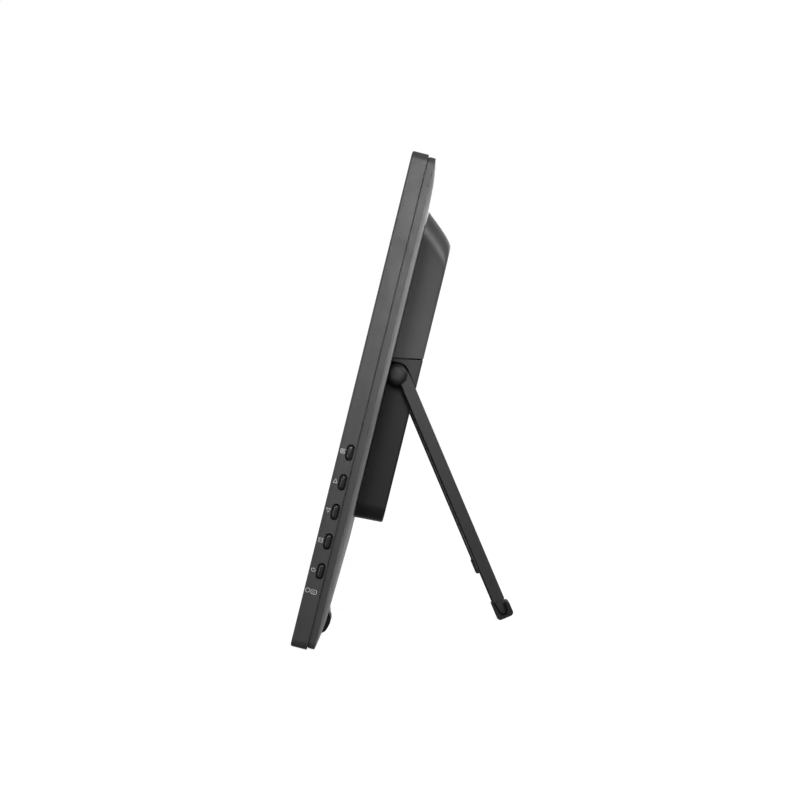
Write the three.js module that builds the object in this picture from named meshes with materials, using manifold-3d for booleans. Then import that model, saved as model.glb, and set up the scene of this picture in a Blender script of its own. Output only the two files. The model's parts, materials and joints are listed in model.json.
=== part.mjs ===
// A large table-top digital photo frame: a flat display with a housing on its back for the
// electronics, five keys on its right edge, and a two-legged stand that folds against the back.
//
// Units are millimetres and degrees. The finished part stands on the plane z = 0, faces -Y, and
// its origin is the middle of its footprint. The display itself is modelled upright in a group of
// its own, the head: X across, Y from the front face to the back, Z up the display, from the
// middle of the bottom front edge. The head then leans back. The stand is modelled hanging down
// from its hinge axis, and then swings open.
import * as THREE from "three";
import { mergeVertices } from "three/addons/utils/BufferGeometryUtils.js";
import Module from "manifold-3d";

const wasm = await Module();
wasm.setup();

// ---------------------------------------------------------------- driving dimensions
// Head: the two flat shells.
const bodyWidth = 512;
const bodyHeight = 307.5;
const bodyCorner = 6;
const leanAngle = 13.8;
const bezelDepth = 10.2;
const bezelChamfer = 0.9;
const shellWall = 2.2;
const seamGap = 0.4;
const rearInset = 1.2;
const rearRim = 4;
const rearCrown = 2.8;
const rearCrownRun = 22;
const rearWall = 2;
const lipWall = 1.2;
const lipReach = 1;
const clearance = 0.3;
const smallestCorner = 1;

// Screen opening, inside the bezel's border, and the stack of sheets behind it.
const borderSide = 17.5;
const borderTop = 18.5;
const panelOverlap = 4;
const glassThickness = 1.2;
const filmThickness = 0.8;
const guideThickness = 3;
const ledBarHeight = 3.5;
const trayWall = 1;
const sheetGap = 0.5;
const filmGap = 0.1;

// Housing on the back: one wide part above the hinge and a narrow part between the legs.
const housingDepth = 20.9;
const housingHalfWidth = 133;
const narrowHalfWidth = 119.5;
const housingBottom = 72;
const housingTop = 292;
const housingTopCrown = 16.2;
const housingTopDrop = 20.6;
const housingDraft = 2.2;
const housingBottomDraft = 0.8;
const housingWall = 2.2;
const housingTopCorner = 24;
const housingBottomCorner = 12;
const housingEdge = 1.2;
const housingSeam = 186.1;
const housingSeamSlope = 11;
const housingSeamGap = 1;
const housingLip = 3.5;
const shoulderDrop = 20;
const coverOpeningHalfWidth = 78;
const coverOpeningBottom = 84;
const coverOpeningTop = 262;

// Slits: the vents in the domed top, and the grille over each speaker.
const ventCount = 15;
const ventPitch = 11;
const ventWidth = 3.2;
const ventFromBase = 5;
const ventFromBack = 6;
const ventReach = 30;
const grilleCount = 6;
const grillePitch = 6;
const grilleLength = 18;
const grilleWidth = 2.4;

// Bay for the plugs, in the housing's underside.
const bayHalfWidth = 60;
const bayHeight = 14;
const bayWall = 2;

// Stand.
const hingeHeight = 175.8;
const hingeBehindBack = 5.6;
const standOpening = 36.85;
const knuckleRadius = 7.6;
const knuckleClearance = 0.8;
const knuckleDome = 3;
const legInner = 121.5;
const legWidth = 12;
const legThickness = 9.1;
const legBehindKnuckle = 0.7;
const legBlend = 8;
const stopGap = 0.5;
const shaftRadius = 3;
const tipLength = 12.4;
const bootFront = 0.9;
const bootRear = 1.9;
const bootSide = 0.7;
const bootSole = 2.2;
const bootCorner = 2.5;
const bootRearArm = 8.6;
const bootArmSlope = 1.6;
const bootArmInset = 2;
const socketFromEnd = 3;

// Hinge hardware inside the housing.
const bracketEar = 99;
const bracketThickness = 2.4;
const bracketWidth = 22;
const bracketHeight = 30;
const bracketReach = 12.5;
const bracketTab = 7;
const bracketTabShift = 4;
const bushWall = 1.1;
const bushProud = 0.8;
const clipFromBush = 0.6;
const clipThickness = 1.2;
const clipClearance = 0.5;

// Rubber feet under the head.
const footLift = 0.2;
const footOuterEnd = 190;
const footLength = 16;
const footSink = 0.8;
const footProud = 0.2;
const footTop = 14;
const footBulge = 3.4;
const footBossTop = 17.6;
const footSoleMargin = 1.2;
const footTopShare = 0.45; // how much of the bulge is left at the foot's top

// Keys on the right edge.
const keyNames = ["power", "source", "down", "up", "menu"];
const keyFirst = 48.8;
const keyPitch = 18.3;
const keyDepth = 7.05;
const keySlotWidth = 4.5;
const keySlotLength = 9.8;
const keyGap = 0.65;
const keyProud = 0.8;
const keyTravel = 0.8;
const keyFlange = 0.9;
const keyFlangeThickness = 2;
const keyFlangeGap = 2.4;
const switchSize = 6;
const switchHeight = 3;
const boardThickness = 1.6;
const keyBoardThickness = 1.2;
const keyBoardFront = 3.8;
const keyBoardBack = 3.4;
const keyBoardMargin = 10;

// Electronics.
const chassisThickness = 1.2;
const chassisGap = 0.6;
const chassisHalfWidth = 140;
const chassisBottom = 78;
const chassisTop = 205;
const boardDepth = 22;
const mainBoardWidth = 144;
const mainBoardBottom = 90;
const mainBoardTop = 165;
const powerBoardWidth = 130;
const powerBoardBottom = 200;
const powerBoardTop = 250;
const spacerRadius = 3;
const spacerInset = 6;
const chipSize = 24;
const chipHeight = 2;
const chipUp = 132;
const coilRadius = 9;
const coilHeight = 9;
const coilAcross = -30;
const coilUp = 226;
const speakerWidth = 24;
const speakerHeight = 56;
const speakerDepth = 12;
const speakerAcross = 100.5;
const speakerBottom = 92;
const speakerGap = 1;
const coneOuter = 10;
const coneInner = 5;
const coneDepth = 6.5;

// Ribbon cables.
const ribbonThickness = 0.4;
const ribbonBend = 2;
const panelCableWidth = 30;
const keyCableWidth = 6;
const cableSlotUp = 120;
const cableSlotHeight = 12;
const cableSlotMargin = 3;

// Screws that hold the housing to the rear cover, at the bottom of deep wells.
const wellRadius = 3.4;
const wellWall = 1.2;
const wellFloor = 24;
const pilotRadius = 1.7;
const screwHeadRadius = 3;
const screwHeadHeight = 2;
const screwShankRadius = 1.35;
const screwReach = 3;
const screwCrossReach = 2;
const screwCrossHalf = 0.45;
const screwCrossDepth = 0.9;
const wellPlaces = [
  [104, 238],
  [84, 156],
  [104, 82],
];

// ---------------------------------------------------------------- derived places
const rad = THREE.MathUtils.degToRad;
const lean = rad(leanAngle);
const backDepth = bezelDepth + seamGap + rearRim + rearCrown; // back face of the rear cover
const housingBase = backDepth + clearance;
const housingBack = backDepth + housingDepth;
const hingeDepth = backDepth + hingeBehindBack;
const legOuter = legInner + legWidth;
const legRear = knuckleRadius + legBehindKnuckle;
const legFront = legRear - legThickness;
const standAngle = rad(standOpening - leanAngle);
const bayTop = housingBottom + bayHeight;
const speakerUp = speakerBottom + speakerHeight / 2;
const screenWidth = bodyWidth - 2 * borderSide;
const screenHeight = bodyHeight - 2 * borderTop;
const screenMiddle = bodyHeight / 2;
const clipRadius = hingeBehindBack - clipClearance;
// The head's lowest corner is the bezel's back bottom edge; the rubber feet lift it.
const headLift = bezelDepth * Math.sin(lean) + footLift;
const hingeAbove = hingeHeight * Math.cos(lean) - hingeDepth * Math.sin(lean) + headLift;
// The leg is as long as it needs to be for the boot's round front corner to touch the table.
const bootFrontFace = legFront - bootFront;
const legReach =
  bootCorner +
  (hingeAbove + (bootFrontFace + bootCorner) * Math.sin(standAngle) - bootCorner) /
    Math.cos(standAngle);

// ---------------------------------------------------------------- materials
const finish = (color, roughness, metalness) =>
  new THREE.MeshStandardMaterial({ color, roughness, metalness });
const shellPlastic = finish(0x2b2b2c, 0.62, 0);
const coverPlastic = finish(0x232122, 0.55, 0);
const keyPlastic = finish(0x1d1d1e, 0.4, 0);
const rubber = finish(0x0f0f10, 0.85, 0);
const legPaint = finish(0x262627, 0.45, 0.2);
const glass = finish(0x050506, 0.12, 0);
const clearPlastic = finish(0xd9dde0, 0.2, 0);
const filmPlastic = finish(0xe6e6e2, 0.5, 0);
const steel = finish(0x9b9ea2, 0.35, 1);
const darkSteel = finish(0x3a3b3d, 0.4, 1);
const circuitBoard = finish(0x1d4a2c, 0.6, 0);
const chipPlastic = finish(0x161616, 0.5, 0);
const aluminium = finish(0xb9bcc0, 0.4, 1);
const copper = finish(0x9a5b32, 0.4, 1);
const brass = finish(0xb08d4a, 0.35, 1);
const ribbon = finish(0xcfcabb, 0.6, 0);

// ---------------------------------------------------------------- geometry tools
const curveSteps = 3; // an arc of a shape gets twice this many sides
const roundSides = 20;
const past = 1; // how far a cutting tool reaches past the face that it cuts
const weld = 0.5; // how far joined solids reach into each other
const faraway = 50; // the size of a tool that only has to be beyond everything

// A geometry as a solid that can be cut and joined.
function solid(geometry) {
  const bare = geometry.index ? geometry.toNonIndexed() : geometry.clone();
  bare.deleteAttribute("normal");
  bare.deleteAttribute("uv");
  const merged = mergeVertices(bare, 1e-4);
  const kept = [];
  for (let i = 0; i < merged.index.count; i += 3) {
    const [a, b, c] = [0, 1, 2].map((k) => merged.index.getX(i + k));
    if (a !== b && b !== c && c !== a) kept.push(a, b, c);
  }
  return new wasm.Manifold(
    new wasm.Mesh({
      numProp: 3,
      vertProperties: new Float32Array(merged.attributes.position.array),
      triVerts: new Uint32Array(kept),
    }),
  );
}

// A solid as a geometry that a mesh can hold.
function geometryOf(made) {
  const mesh = made.getMesh();
  const geometry = new THREE.BufferGeometry();
  geometry.setAttribute("position", new THREE.BufferAttribute(mesh.vertProperties, 3));
  geometry.setIndex(new THREE.BufferAttribute(mesh.triVerts, 1));
  geometry.computeVertexNormals();
  return geometry;
}

const join = (solids) => solids.reduce((whole, next) => whole.add(next));
const cut = (whole, tools) => tools.reduce((left, tool) => left.subtract(tool), whole);

function box(x0, x1, y0, y1, z0, z1) {
  const geometry = new THREE.BoxGeometry(x1 - x0, y1 - y0, z1 - z0);
  geometry.translate((x0 + x1) / 2, (y0 + y1) / 2, (z0 + z1) / 2);
  return solid(geometry);
}

const shapeOf = (points) => new THREE.Shape(points.map(([a, b]) => new THREE.Vector2(a, b)));

function extruded(shape, depth) {
  return new THREE.ExtrudeGeometry(shape, {
    depth,
    bevelEnabled: false,
    curveSegments: curveSteps,
  });
}

// A shape drawn in (y, z), from x0 to x1.
function alongX(shape, x0, x1) {
  const [y, z, x] = [
    new THREE.Vector3(0, 1, 0),
    new THREE.Vector3(0, 0, 1),
    new THREE.Vector3(1, 0, 0),
  ];
  const geometry = extruded(shape, x1 - x0);
  geometry.applyMatrix4(new THREE.Matrix4().makeBasis(y, z, x).setPosition(x0, 0, 0));
  return solid(geometry);
}

// A shape drawn in (x, z), from y0 to y1.
function alongY(shape, y0, y1) {
  const [x, z, forward] = [
    new THREE.Vector3(1, 0, 0),
    new THREE.Vector3(0, 0, 1),
    new THREE.Vector3(0, -1, 0),
  ];
  const geometry = extruded(shape, y1 - y0);
  geometry.applyMatrix4(new THREE.Matrix4().makeBasis(x, z, forward).setPosition(0, y1, 0));
  return solid(geometry);
}

// A round bar along X, from x0 to x1, about the line at (y, z).
function barX(radius, x0, x1, y = 0, z = 0) {
  const geometry = new THREE.CylinderGeometry(radius, radius, x1 - x0, roundSides);
  geometry.rotateZ(-Math.PI / 2).translate((x0 + x1) / 2, y, z);
  return solid(geometry);
}

// A round bar along Y, from y0 to y1, about the line at (x, z).
function barY(radius, y0, y1, x = 0, z = 0) {
  const geometry = new THREE.CylinderGeometry(radius, radius, y1 - y0, roundSides);
  geometry.translate(x, (y0 + y1) / 2, z);
  return solid(geometry);
}

// A rectangle with its own radius for the upper and the lower corners.
function roundedRectangle(halfWidth, low, high, lowRadius, highRadius = lowRadius) {
  const shape = new THREE.Shape();
  const quarter = Math.PI / 2;
  shape.absarc(halfWidth - lowRadius, low + lowRadius, lowRadius, -quarter, 0);
  shape.absarc(halfWidth - highRadius, high - highRadius, highRadius, 0, quarter);
  shape.absarc(-halfWidth + highRadius, high - highRadius, highRadius, quarter, 2 * quarter);
  shape.absarc(-halfWidth + lowRadius, low + lowRadius, lowRadius, 2 * quarter, 3 * quarter);
  return shape;
}

// A long hole or key outline with round ends, standing on its end about (across, up).
function stadium(width, length, across, up) {
  const radius = width / 2;
  const straight = length / 2 - radius;
  const shape = new THREE.Shape();
  shape.absarc(across, up + straight, radius, 0, Math.PI);
  shape.absarc(across, up - straight, radius, Math.PI, 2 * Math.PI);
  return shape;
}

// A closed body through convex outlines in (x, z), each at its own depth along Y.
function loft(sections) {
  const rings = sections.map(({ depth, shape }) =>
    shape.getPoints(curveSteps).map((p) => [p.x, depth, p.y]),
  );
  const count = Math.min(...rings.map((ring) => ring.length));
  const positions = [];
  const triangle = (...corners) => corners.forEach((corner) => positions.push(...corner));
  for (let i = 1; i < count - 1; i += 1) {
    triangle(rings[0][0], rings[0][i], rings[0][i + 1]);
    const last = rings[rings.length - 1];
    triangle(last[0], last[i + 1], last[i]);
  }
  for (let s = 0; s < rings.length - 1; s += 1) {
    for (let i = 0; i < count; i += 1) {
      const next = (i + 1) % count;
      const [a, b] = [rings[s][i], rings[s][next]];
      const [d, c] = [rings[s + 1][i], rings[s + 1][next]];
      triangle(a, d, b);
      triangle(b, d, c);
    }
  }
  const geometry = new THREE.BufferGeometry();
  geometry.setAttribute("position", new THREE.Float32BufferAttribute(positions, 3));
  return solid(geometry);
}

// An outline of (y, z) points moved outwards by a distance.
function grown(points, distance) {
  const count = points.length;
  const area = points.reduce((sum, [a, b], i) => {
    const [c, d] = points[(i + 1) % count];
    return sum + a * d - b * c;
  }, 0);
  const side = Math.sign(area);
  return points.map(([a, b], i) => {
    const [pa, pb] = points[(i + count - 1) % count];
    const [na, nb] = points[(i + 1) % count];
    const before = new THREE.Vector2(b - pb, pa - a).normalize().multiplyScalar(side);
    const after = new THREE.Vector2(nb - b, a - na).normalize().multiplyScalar(side);
    const middle = before.clone().add(after);
    const reach = distance / Math.max(0.3, middle.lengthSq() / 2);
    return [a + middle.x * reach, b + middle.y * reach];
  });
}

// ---------------------------------------------------------------- assembly helpers
const group = new THREE.Group();
const stage = new THREE.Group(); // places the whole part over the middle of its footprint
const head = new THREE.Group();
const stand = new THREE.Group();
group.add(stage);
stage.add(head, stand);

function piece(parent, name, made, material) {
  const mesh = new THREE.Mesh(geometryOf(made), material);
  mesh.name = name;
  parent.add(mesh);
  return mesh;
}

const sides = [
  ["left", -1],
  ["right", 1],
];

// Runs a box over |x| from one distance to another, on the side that the sign gives.
const sideBox = (sign, near, far, ...rest) =>
  sign > 0 ? box(near, far, ...rest) : box(-far, -near, ...rest);
const sideAlongX = (sign, shape, near, far) =>
  sign > 0 ? alongX(shape, near, far) : alongX(shape, -far, -near);
const sideBarX = (sign, radius, near, far, y, z) =>
  sign > 0 ? barX(radius, near, far, y, z) : barX(radius, -far, -near, y, z);

// ---------------------------------------------------------------- front bezel
const keyHeights = keyNames.map((_, i) => keyFirst + i * keyPitch);

const bodyOutline = (inset, extra = 0) =>
  roundedRectangle(
    bodyWidth / 2 - inset,
    inset,
    bodyHeight - inset,
    Math.max(bodyCorner - inset, smallestCorner) + extra,
  );

function frontBezel() {
  const outside = loft([
    { depth: 0, shape: bodyOutline(bezelChamfer) },
    { depth: bezelChamfer, shape: bodyOutline(0) },
    { depth: bezelDepth, shape: bodyOutline(0) },
  ]);
  const inside = alongY(bodyOutline(shellWall), shellWall, bezelDepth + past);
  const opening = box(
    -screenWidth / 2,
    screenWidth / 2,
    -past,
    shellWall + past,
    screenMiddle - screenHeight / 2,
    screenMiddle + screenHeight / 2,
  );
  const slots = keyHeights.map((up) =>
    alongX(
      stadium(keySlotWidth, keySlotLength, keyDepth, up),
      bodyWidth / 2 - shellWall - past,
      bodyWidth / 2 + past,
    ),
  );
  return cut(outside, [inside, opening, ...slots]);
}
piece(head, "front_bezel", frontBezel(), shellPlastic);

// ---------------------------------------------------------------- housing on the back
// The housing's outer form, with its sides this far inside the full form, as a solid that starts
// at a depth of its own. Its top slopes in a curve from the base to the back face.
const topSlope = new THREE.QuadraticBezierCurve(
  new THREE.Vector2(0, 0),
  new THREE.Vector2(housingDepth, housingTopCrown),
  new THREE.Vector2(housingDepth, housingTopDrop),
);

function housingForm(halfWidth, inset, start) {
  const steps = [0, 0.2, 0.4, 0.6, 0.75, 0.88, 1];
  const edge = (depth) => {
    const past = Math.max(0, depth - (housingDepth - housingEdge));
    return housingEdge - Math.sqrt(housingEdge ** 2 - Math.min(past, housingEdge) ** 2);
  };
  const full = (1 - inset / housingDepth) * housingDepth;
  const sections = steps.map((t) => {
    const at = topSlope.getPoint(t);
    const share = at.x / housingDepth;
    const side = inset + edge(at.x);
    return {
      depth: backDepth + share * full,
      shape: roundedRectangle(
        halfWidth - side - housingDraft * share,
        housingBottom + side + housingBottomDraft * share,
        housingTop - at.y - inset,
        Math.max(housingBottomCorner - inset, smallestCorner),
        Math.max(housingTopCorner - inset, smallestCorner),
      ),
    };
  });
  sections[0].depth = start;
  return loft(sections);
}

const seamAt = (depth) =>
  housingSeam + (depth - backDepth) * Math.tan(rad(housingSeamSlope));

// Everything above, or below, the sloping seam between the two housings.
function seamSide(offset, far) {
  const near = backDepth - faraway;
  const away = housingBack + faraway;
  const points = [
    [near, seamAt(near) + offset],
    [away, seamAt(away) + offset],
    [away, far],
    [near, far],
  ];
  return alongX(shapeOf(far > offset ? points : points.reverse()), -bodyWidth, bodyWidth);
}

const overHead = bodyHeight + faraway;
const aboveSeam = seamSide(housingSeamGap / 2, overHead);
const belowSeam = seamSide(-housingSeamGap / 2, -faraway);

// The room that a leg and its knuckle need beside the narrow part of the housing, from folded to
// open. Its upper side is the stop: parallel to the open leg's back edge.
function legRoomOutline() {
  const open = rad(standOpening);
  const crownReach = knuckleRadius + knuckleClearance;
  const reach = legRear + stopGap;
  const arc = [0, 0.25, 0.5, 0.75, 1].map((share) => {
    const angle = Math.PI / 2 + (open - Math.PI / 2) * share;
    const radius = crownReach + (reach - crownReach) * share;
    return [hingeDepth + radius * Math.cos(angle), hingeHeight + radius * Math.sin(angle)];
  });
  const run = hingeHeight / 3; // far enough to pass the housing's back
  const end = [
    hingeDepth + reach * Math.cos(open) + run * Math.sin(open),
    hingeHeight + reach * Math.sin(open) - run * Math.cos(open),
  ];
  const crown = hingeHeight + crownReach;
  const front = backDepth - weld;
  return [[front, crown], ...arc, end, [end[0], 0], [front, 0]];
}

const wells = wellPlaces.flatMap(([across, up]) =>
  sides.map(([side, sign]) => ({ name: side, across: sign * across, up })),
);
const wellBoss = ({ across, up }) =>
  barY(wellRadius + wellWall, housingBase + weld, housingBack - housingWall, across, up);
const wellBore = ({ across, up }) =>
  join([
    barY(wellRadius, wellFloor, housingBack + past, across, up),
    barY(pilotRadius, backDepth, wellFloor + past, across, up),
  ]);

const wideForm = housingForm(housingHalfWidth, 0, housingBase);
const narrowForm = housingForm(narrowHalfWidth, 0, housingBase);
const wideHollow = housingForm(housingHalfWidth, housingWall, housingBase - past);
const narrowHollow = housingForm(narrowHalfWidth, housingWall, housingBase - past);

function upperHousing() {
  const shell = wideForm.intersect(aboveSeam).subtract(wideHollow);
  const mine = wells.filter((well) => well.up > housingSeam);
  const vents = Array.from({ length: ventCount }, (_, i) => {
    const across = (i - (ventCount - 1) / 2) * ventPitch;
    return box(
      across - ventWidth / 2,
      across + ventWidth / 2,
      housingBase + ventFromBase,
      housingBack - ventFromBack,
      housingTop - ventReach,
      housingTop + past,
    );
  });
  return cut(shell.add(join(mine.map(wellBoss))), [...mine.map(wellBore), ...vents]);
}
piece(head, "upper_housing", upperHousing(), shellPlastic);

// Sockets along the bottom edge of the main board. The wall is around the socket's mouth, the
// mouth is this much shorter than the socket, and a tongue or pin stands in it.
const socketFloor = boardDepth + boardThickness + clearance;
const dcSocket = { across: -46, width: 9, height: 9, length: 13, closed: 3, bore: 2.9, pin: 1 };
const hdmiSocket = {
  across: -20,
  width: 15.4,
  height: 6.4,
  length: 12,
  closed: 2.5,
  wall: 0.7,
  tongue: [10.5, 1.4],
};
const usbSocket = {
  across: 8,
  width: 14.6,
  height: 7.4,
  length: 14,
  closed: 2.5,
  wall: 0.8,
  tongue: [11, 1.9],
};
const cardSlot = { across: 38, width: 28, height: 4, length: 22, closed: 2, wall: 1.6, slit: 2.4 };
const sockets = [dcSocket, hdmiSocket, usbSocket, cardSlot];

function lowerHousing() {
  const shoulderFloor = hingeHeight - shoulderDrop;
  const shoulders = wideForm.intersect(
    box(-bodyWidth, bodyWidth, 0, housingBack + past, shoulderFloor, bodyHeight),
  );
  const legRoom = shapeOf(legRoomOutline());
  const outside = cut(
    shoulders,
    sides.map(([, sign]) => sideAlongX(sign, legRoom, narrowHalfWidth, bodyWidth / 2)),
  )
    .add(narrowForm)
    .intersect(belowSeam);
  const lipForm = (inset, start) => housingForm(housingHalfWidth, inset, start);
  const lipBand = seamSide(-housingLip, overHead).intersect(seamSide(housingLip, -faraway));
  const lipHollow = lipForm(housingWall + clearance + lipWall, housingBase - past);
  const lip = lipForm(housingWall + clearance, housingBase)
    .subtract(lipHollow)
    .intersect(lipBand);
  const lipRoot = lipForm(housingWall - clearance, housingBase)
    .subtract(lipHollow)
    .intersect(lipBand)
    .intersect(belowSeam);
  const bayBlock = box(
    -bayHalfWidth - bayWall,
    bayHalfWidth + bayWall,
    housingBase,
    housingBack,
    housingBottom - past,
    bayTop + bayWall,
  ).intersect(narrowForm);
  const bay = box(
    -bayHalfWidth,
    bayHalfWidth,
    housingBase - past,
    housingBack - housingWall,
    housingBottom - past,
    bayTop,
  );
  const windows = sockets.map(({ across, width, height }) =>
    box(
      across - width / 2 - clearance,
      across + width / 2 + clearance,
      socketFloor - clearance,
      socketFloor + height + clearance,
      bayTop - past,
      bayTop + bayWall + past,
    ),
  );
  const grilles = sides.flatMap(([, sign]) =>
    Array.from({ length: grilleCount }, (_, i) => {
      const up = speakerUp + (i - (grilleCount - 1) / 2) * grillePitch;
      const middle = sign * speakerAcross;
      return box(
        middle - grilleLength / 2,
        middle + grilleLength / 2,
        housingBack - housingWall - past,
        housingBack + past,
        up - grilleWidth / 2,
        up + grilleWidth / 2,
      );
    }),
  );
  const shaftHoles = sides.map(([, sign]) =>
    sideBarX(
      sign,
      shaftRadius + 2 * clearance,
      narrowHalfWidth - 2 * housingWall,
      narrowHalfWidth + past,
      hingeDepth,
      hingeHeight,
    ),
  );
  const mine = wells.filter((well) => well.up < housingSeam);
  const shell = join([
    outside.subtract(narrowHollow),
    lip,
    lipRoot,
    bayBlock,
    ...mine.map(wellBoss),
  ]);
  return cut(shell, [bay, ...windows, ...grilles, ...shaftHoles, ...mine.map(wellBore)]);
}
piece(head, "lower_housing", lowerHousing(), coverPlastic);

// ---------------------------------------------------------------- rear cover and its feet
// A foot's outline in (y, z): a flat sole on the table and a back that follows the cover's crown.
// The right foot's back bulges out of the cover, and the left one's is almost flush with it.
const feet = [
  { side: "left", sign: -1, bulge: 0 },
  { side: "right", sign: 1, bulge: footBulge },
];
const tableAt = (depth) => (depth * Math.sin(lean) - headLift) / Math.cos(lean);
const rimBack = bezelDepth + seamGap + rearRim;
const crownAt = (up) => {
  const left = Math.max(0, 1 - (up - rearInset) / rearCrownRun);
  return rimBack + rearCrown * (1 - left ** 2);
};

// The foot's back, each [height, share of the bulge], and the heights of its inner points.
const footProfile = [
  [3, 0.8],
  [8.7, 1],
  [10.7, 0.92],
  [footTop, footTopShare],
];
const footInnerHeights = [footTop, 8, 3];

function footOutline(bulge) {
  const soleFront = bezelDepth + seamGap + footSoleMargin;
  const soleBack = rimBack + footSoleMargin;
  const inner = footInnerHeights.map((up) => [crownAt(up) - footSink, up]);
  const back = footProfile.map(([up, share]) => [
    crownAt(up) + footProud + bulge * share,
    up,
  ]);
  return [
    [soleFront, tableAt(soleFront)],
    [soleBack, tableAt(soleBack)],
    ...back,
    ...inner,
    [rimBack - footSink, rearInset + footSink],
    [soleFront, rearInset + footSink],
  ];
}

function rearCover() {
  const cornerGrowth = 1 / 3; // the corners grow rounder up the crown
  const outer = (inset) => bodyOutline(rearInset + inset, inset * cornerGrowth);
  const front = bezelDepth + seamGap;
  const crown = (share) => 1 - Math.sqrt(1 - share); // a parabola's run for a share of its rise
  const crownSteps = [0.35, 0.65, 0.87, 1];
  const outside = loft([
    { depth: front, shape: outer(0) },
    ...[0, ...crownSteps].map((share) => ({
      depth: rimBack + rearCrown * share,
      shape: outer(rearCrownRun * crown(share)),
    })),
  ]);
  const floor = backDepth - rearWall;
  const rimThickness = 0.75 * rearWall;
  const hollowRun = 0.8 * rearCrownRun;
  const inside = loft([
    { depth: front - past, shape: outer(rearWall) },
    { depth: rimBack - rimThickness, shape: outer(rearWall) },
    { depth: floor, shape: outer(rearWall + hollowRun) },
  ]);
  const lipOuter = bodyOutline(shellWall + clearance);
  const lipInner = bodyOutline(shellWall + clearance + lipWall);
  const lipFront = bezelDepth - lipReach;
  const lipBack = front + 2 * weld;
  const lip = alongY(lipOuter, lipFront, lipBack).subtract(
    alongY(lipInner, lipFront - past, lipBack + past),
  );
  const opening = box(
    -coverOpeningHalfWidth,
    coverOpeningHalfWidth,
    0,
    backDepth + past,
    coverOpeningBottom,
    coverOpeningTop,
  );
  const screwHoles = wells.map(({ across, up }) =>
    barY(pilotRadius, 0, backDepth + past, across, up),
  );
  // A closed pocket behind each knuckle, because the knuckle is thicker than its axis is proud.
  const sweep = knuckleRadius + knuckleClearance;
  const pocketDepth = backDepth - (hingeDepth - sweep);
  const pocketBlocks = sides.map(([, sign]) =>
    sideBox(
      sign,
      narrowHalfWidth - rearWall,
      legOuter + knuckleDome + knuckleClearance + rearWall,
      backDepth - pocketDepth - rearWall,
      backDepth - rearWall + weld,
      hingeHeight - sweep,
      hingeHeight + sweep,
    ),
  );
  const pockets = sides.map(([, sign]) =>
    sideBarX(
      sign,
      sweep,
      narrowHalfWidth,
      legOuter + knuckleDome + knuckleClearance,
      hingeDepth,
      hingeHeight,
    ),
  );
  // A boss of the cover's own plastic runs down to the top of the bulging foot.
  const bossSlope = shapeOf([
    [crownAt(footTop) - weld, footTop],
    [crownAt(footTop) + footTopShare * footBulge, footTop],
    [crownAt(footBossTop), footBossTop],
    [crownAt(footBossTop) - weld, footBossTop],
  ]);
  const boss = alongX(bossSlope, footOuterEnd - footLength, footOuterEnd);
  const footPockets = feet.map(({ sign, bulge }) =>
    sideAlongX(
      sign,
      shapeOf(grown(footOutline(bulge), clearance)),
      footOuterEnd - footLength - clearance,
      footOuterEnd + clearance,
    ),
  );
  const shell = join([outside.subtract(inside), lip, ...pocketBlocks, boss]);
  return cut(shell, [opening, ...screwHoles, ...pockets, ...footPockets]);
}
piece(head, "rear_cover", rearCover(), shellPlastic);

for (const { side, sign, bulge } of feet) {
  const foot = sideAlongX(
    sign,
    shapeOf(footOutline(bulge)),
    footOuterEnd - footLength,
    footOuterEnd,
  );
  piece(head, `base_foot_${side}`, foot, rubber);
}

// ---------------------------------------------------------------- screen and backlight
const panelHalfWidth = screenWidth / 2 + panelOverlap;
const panelLow = screenMiddle - screenHeight / 2 - panelOverlap;
const panelHigh = screenMiddle + screenHeight / 2 + panelOverlap;
const glassFront = shellWall + clearance;
const trayFront = glassFront + glassThickness + clearance;
const sheetInset = trayWall + sheetGap;
const filmFront = trayFront + filmGap;
const guideFront = filmFront + filmThickness + clearance;
const trayFloor = guideFront + guideThickness + clearance;
const trayBack = trayFloor + trayWall;

function panelBox(inset, y0, y1, low = panelLow + inset) {
  const half = panelHalfWidth - inset;
  return box(-half, half, y0, y1, low, panelHigh - inset);
}

piece(head, "screen_glass", panelBox(0, glassFront, glassFront + glassThickness), glass);
piece(
  head,
  "optical_films",
  panelBox(sheetInset, filmFront, filmFront + filmThickness),
  filmPlastic,
);
const guideLow = panelLow + sheetInset + ledBarHeight + sheetGap;
piece(
  head,
  "light_guide",
  panelBox(sheetInset, guideFront, guideFront + guideThickness, guideLow),
  clearPlastic,
);
const ledHalf = panelHalfWidth - sheetInset;
const ledBar = box(
  -ledHalf,
  ledHalf,
  guideFront,
  guideFront + guideThickness,
  panelLow + sheetInset,
  panelLow + sheetInset + ledBarHeight,
);
piece(head, "led_bar", ledBar, circuitBoard);
const tray = panelBox(0, trayFront, trayBack).subtract(
  panelBox(trayWall, trayFront - past, trayFloor),
);
piece(head, "panel_tray", tray, steel);

// ---------------------------------------------------------------- chassis and boards
const chassisFront = trayBack + chassisGap;
const chassisBack = chassisFront + chassisThickness;
const chassis = box(
  -chassisHalfWidth,
  chassisHalfWidth,
  chassisFront,
  chassisBack,
  chassisBottom,
  chassisTop,
).subtract(
  box(
    -panelCableWidth / 2 - cableSlotMargin,
    panelCableWidth / 2 + cableSlotMargin,
    chassisFront - past,
    chassisBack + past,
    cableSlotUp - cableSlotHeight / 2,
    cableSlotUp + cableSlotHeight / 2,
  ),
);
piece(head, "chassis_plate", chassis, steel);

const board = (width, low, high) =>
  box(-width / 2, width / 2, boardDepth, boardDepth + boardThickness, low, high);
piece(
  head,
  "main_board",
  board(mainBoardWidth, mainBoardBottom, mainBoardTop),
  circuitBoard,
);
piece(
  head,
  "power_board",
  board(powerBoardWidth, powerBoardBottom, powerBoardTop),
  circuitBoard,
);

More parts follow.
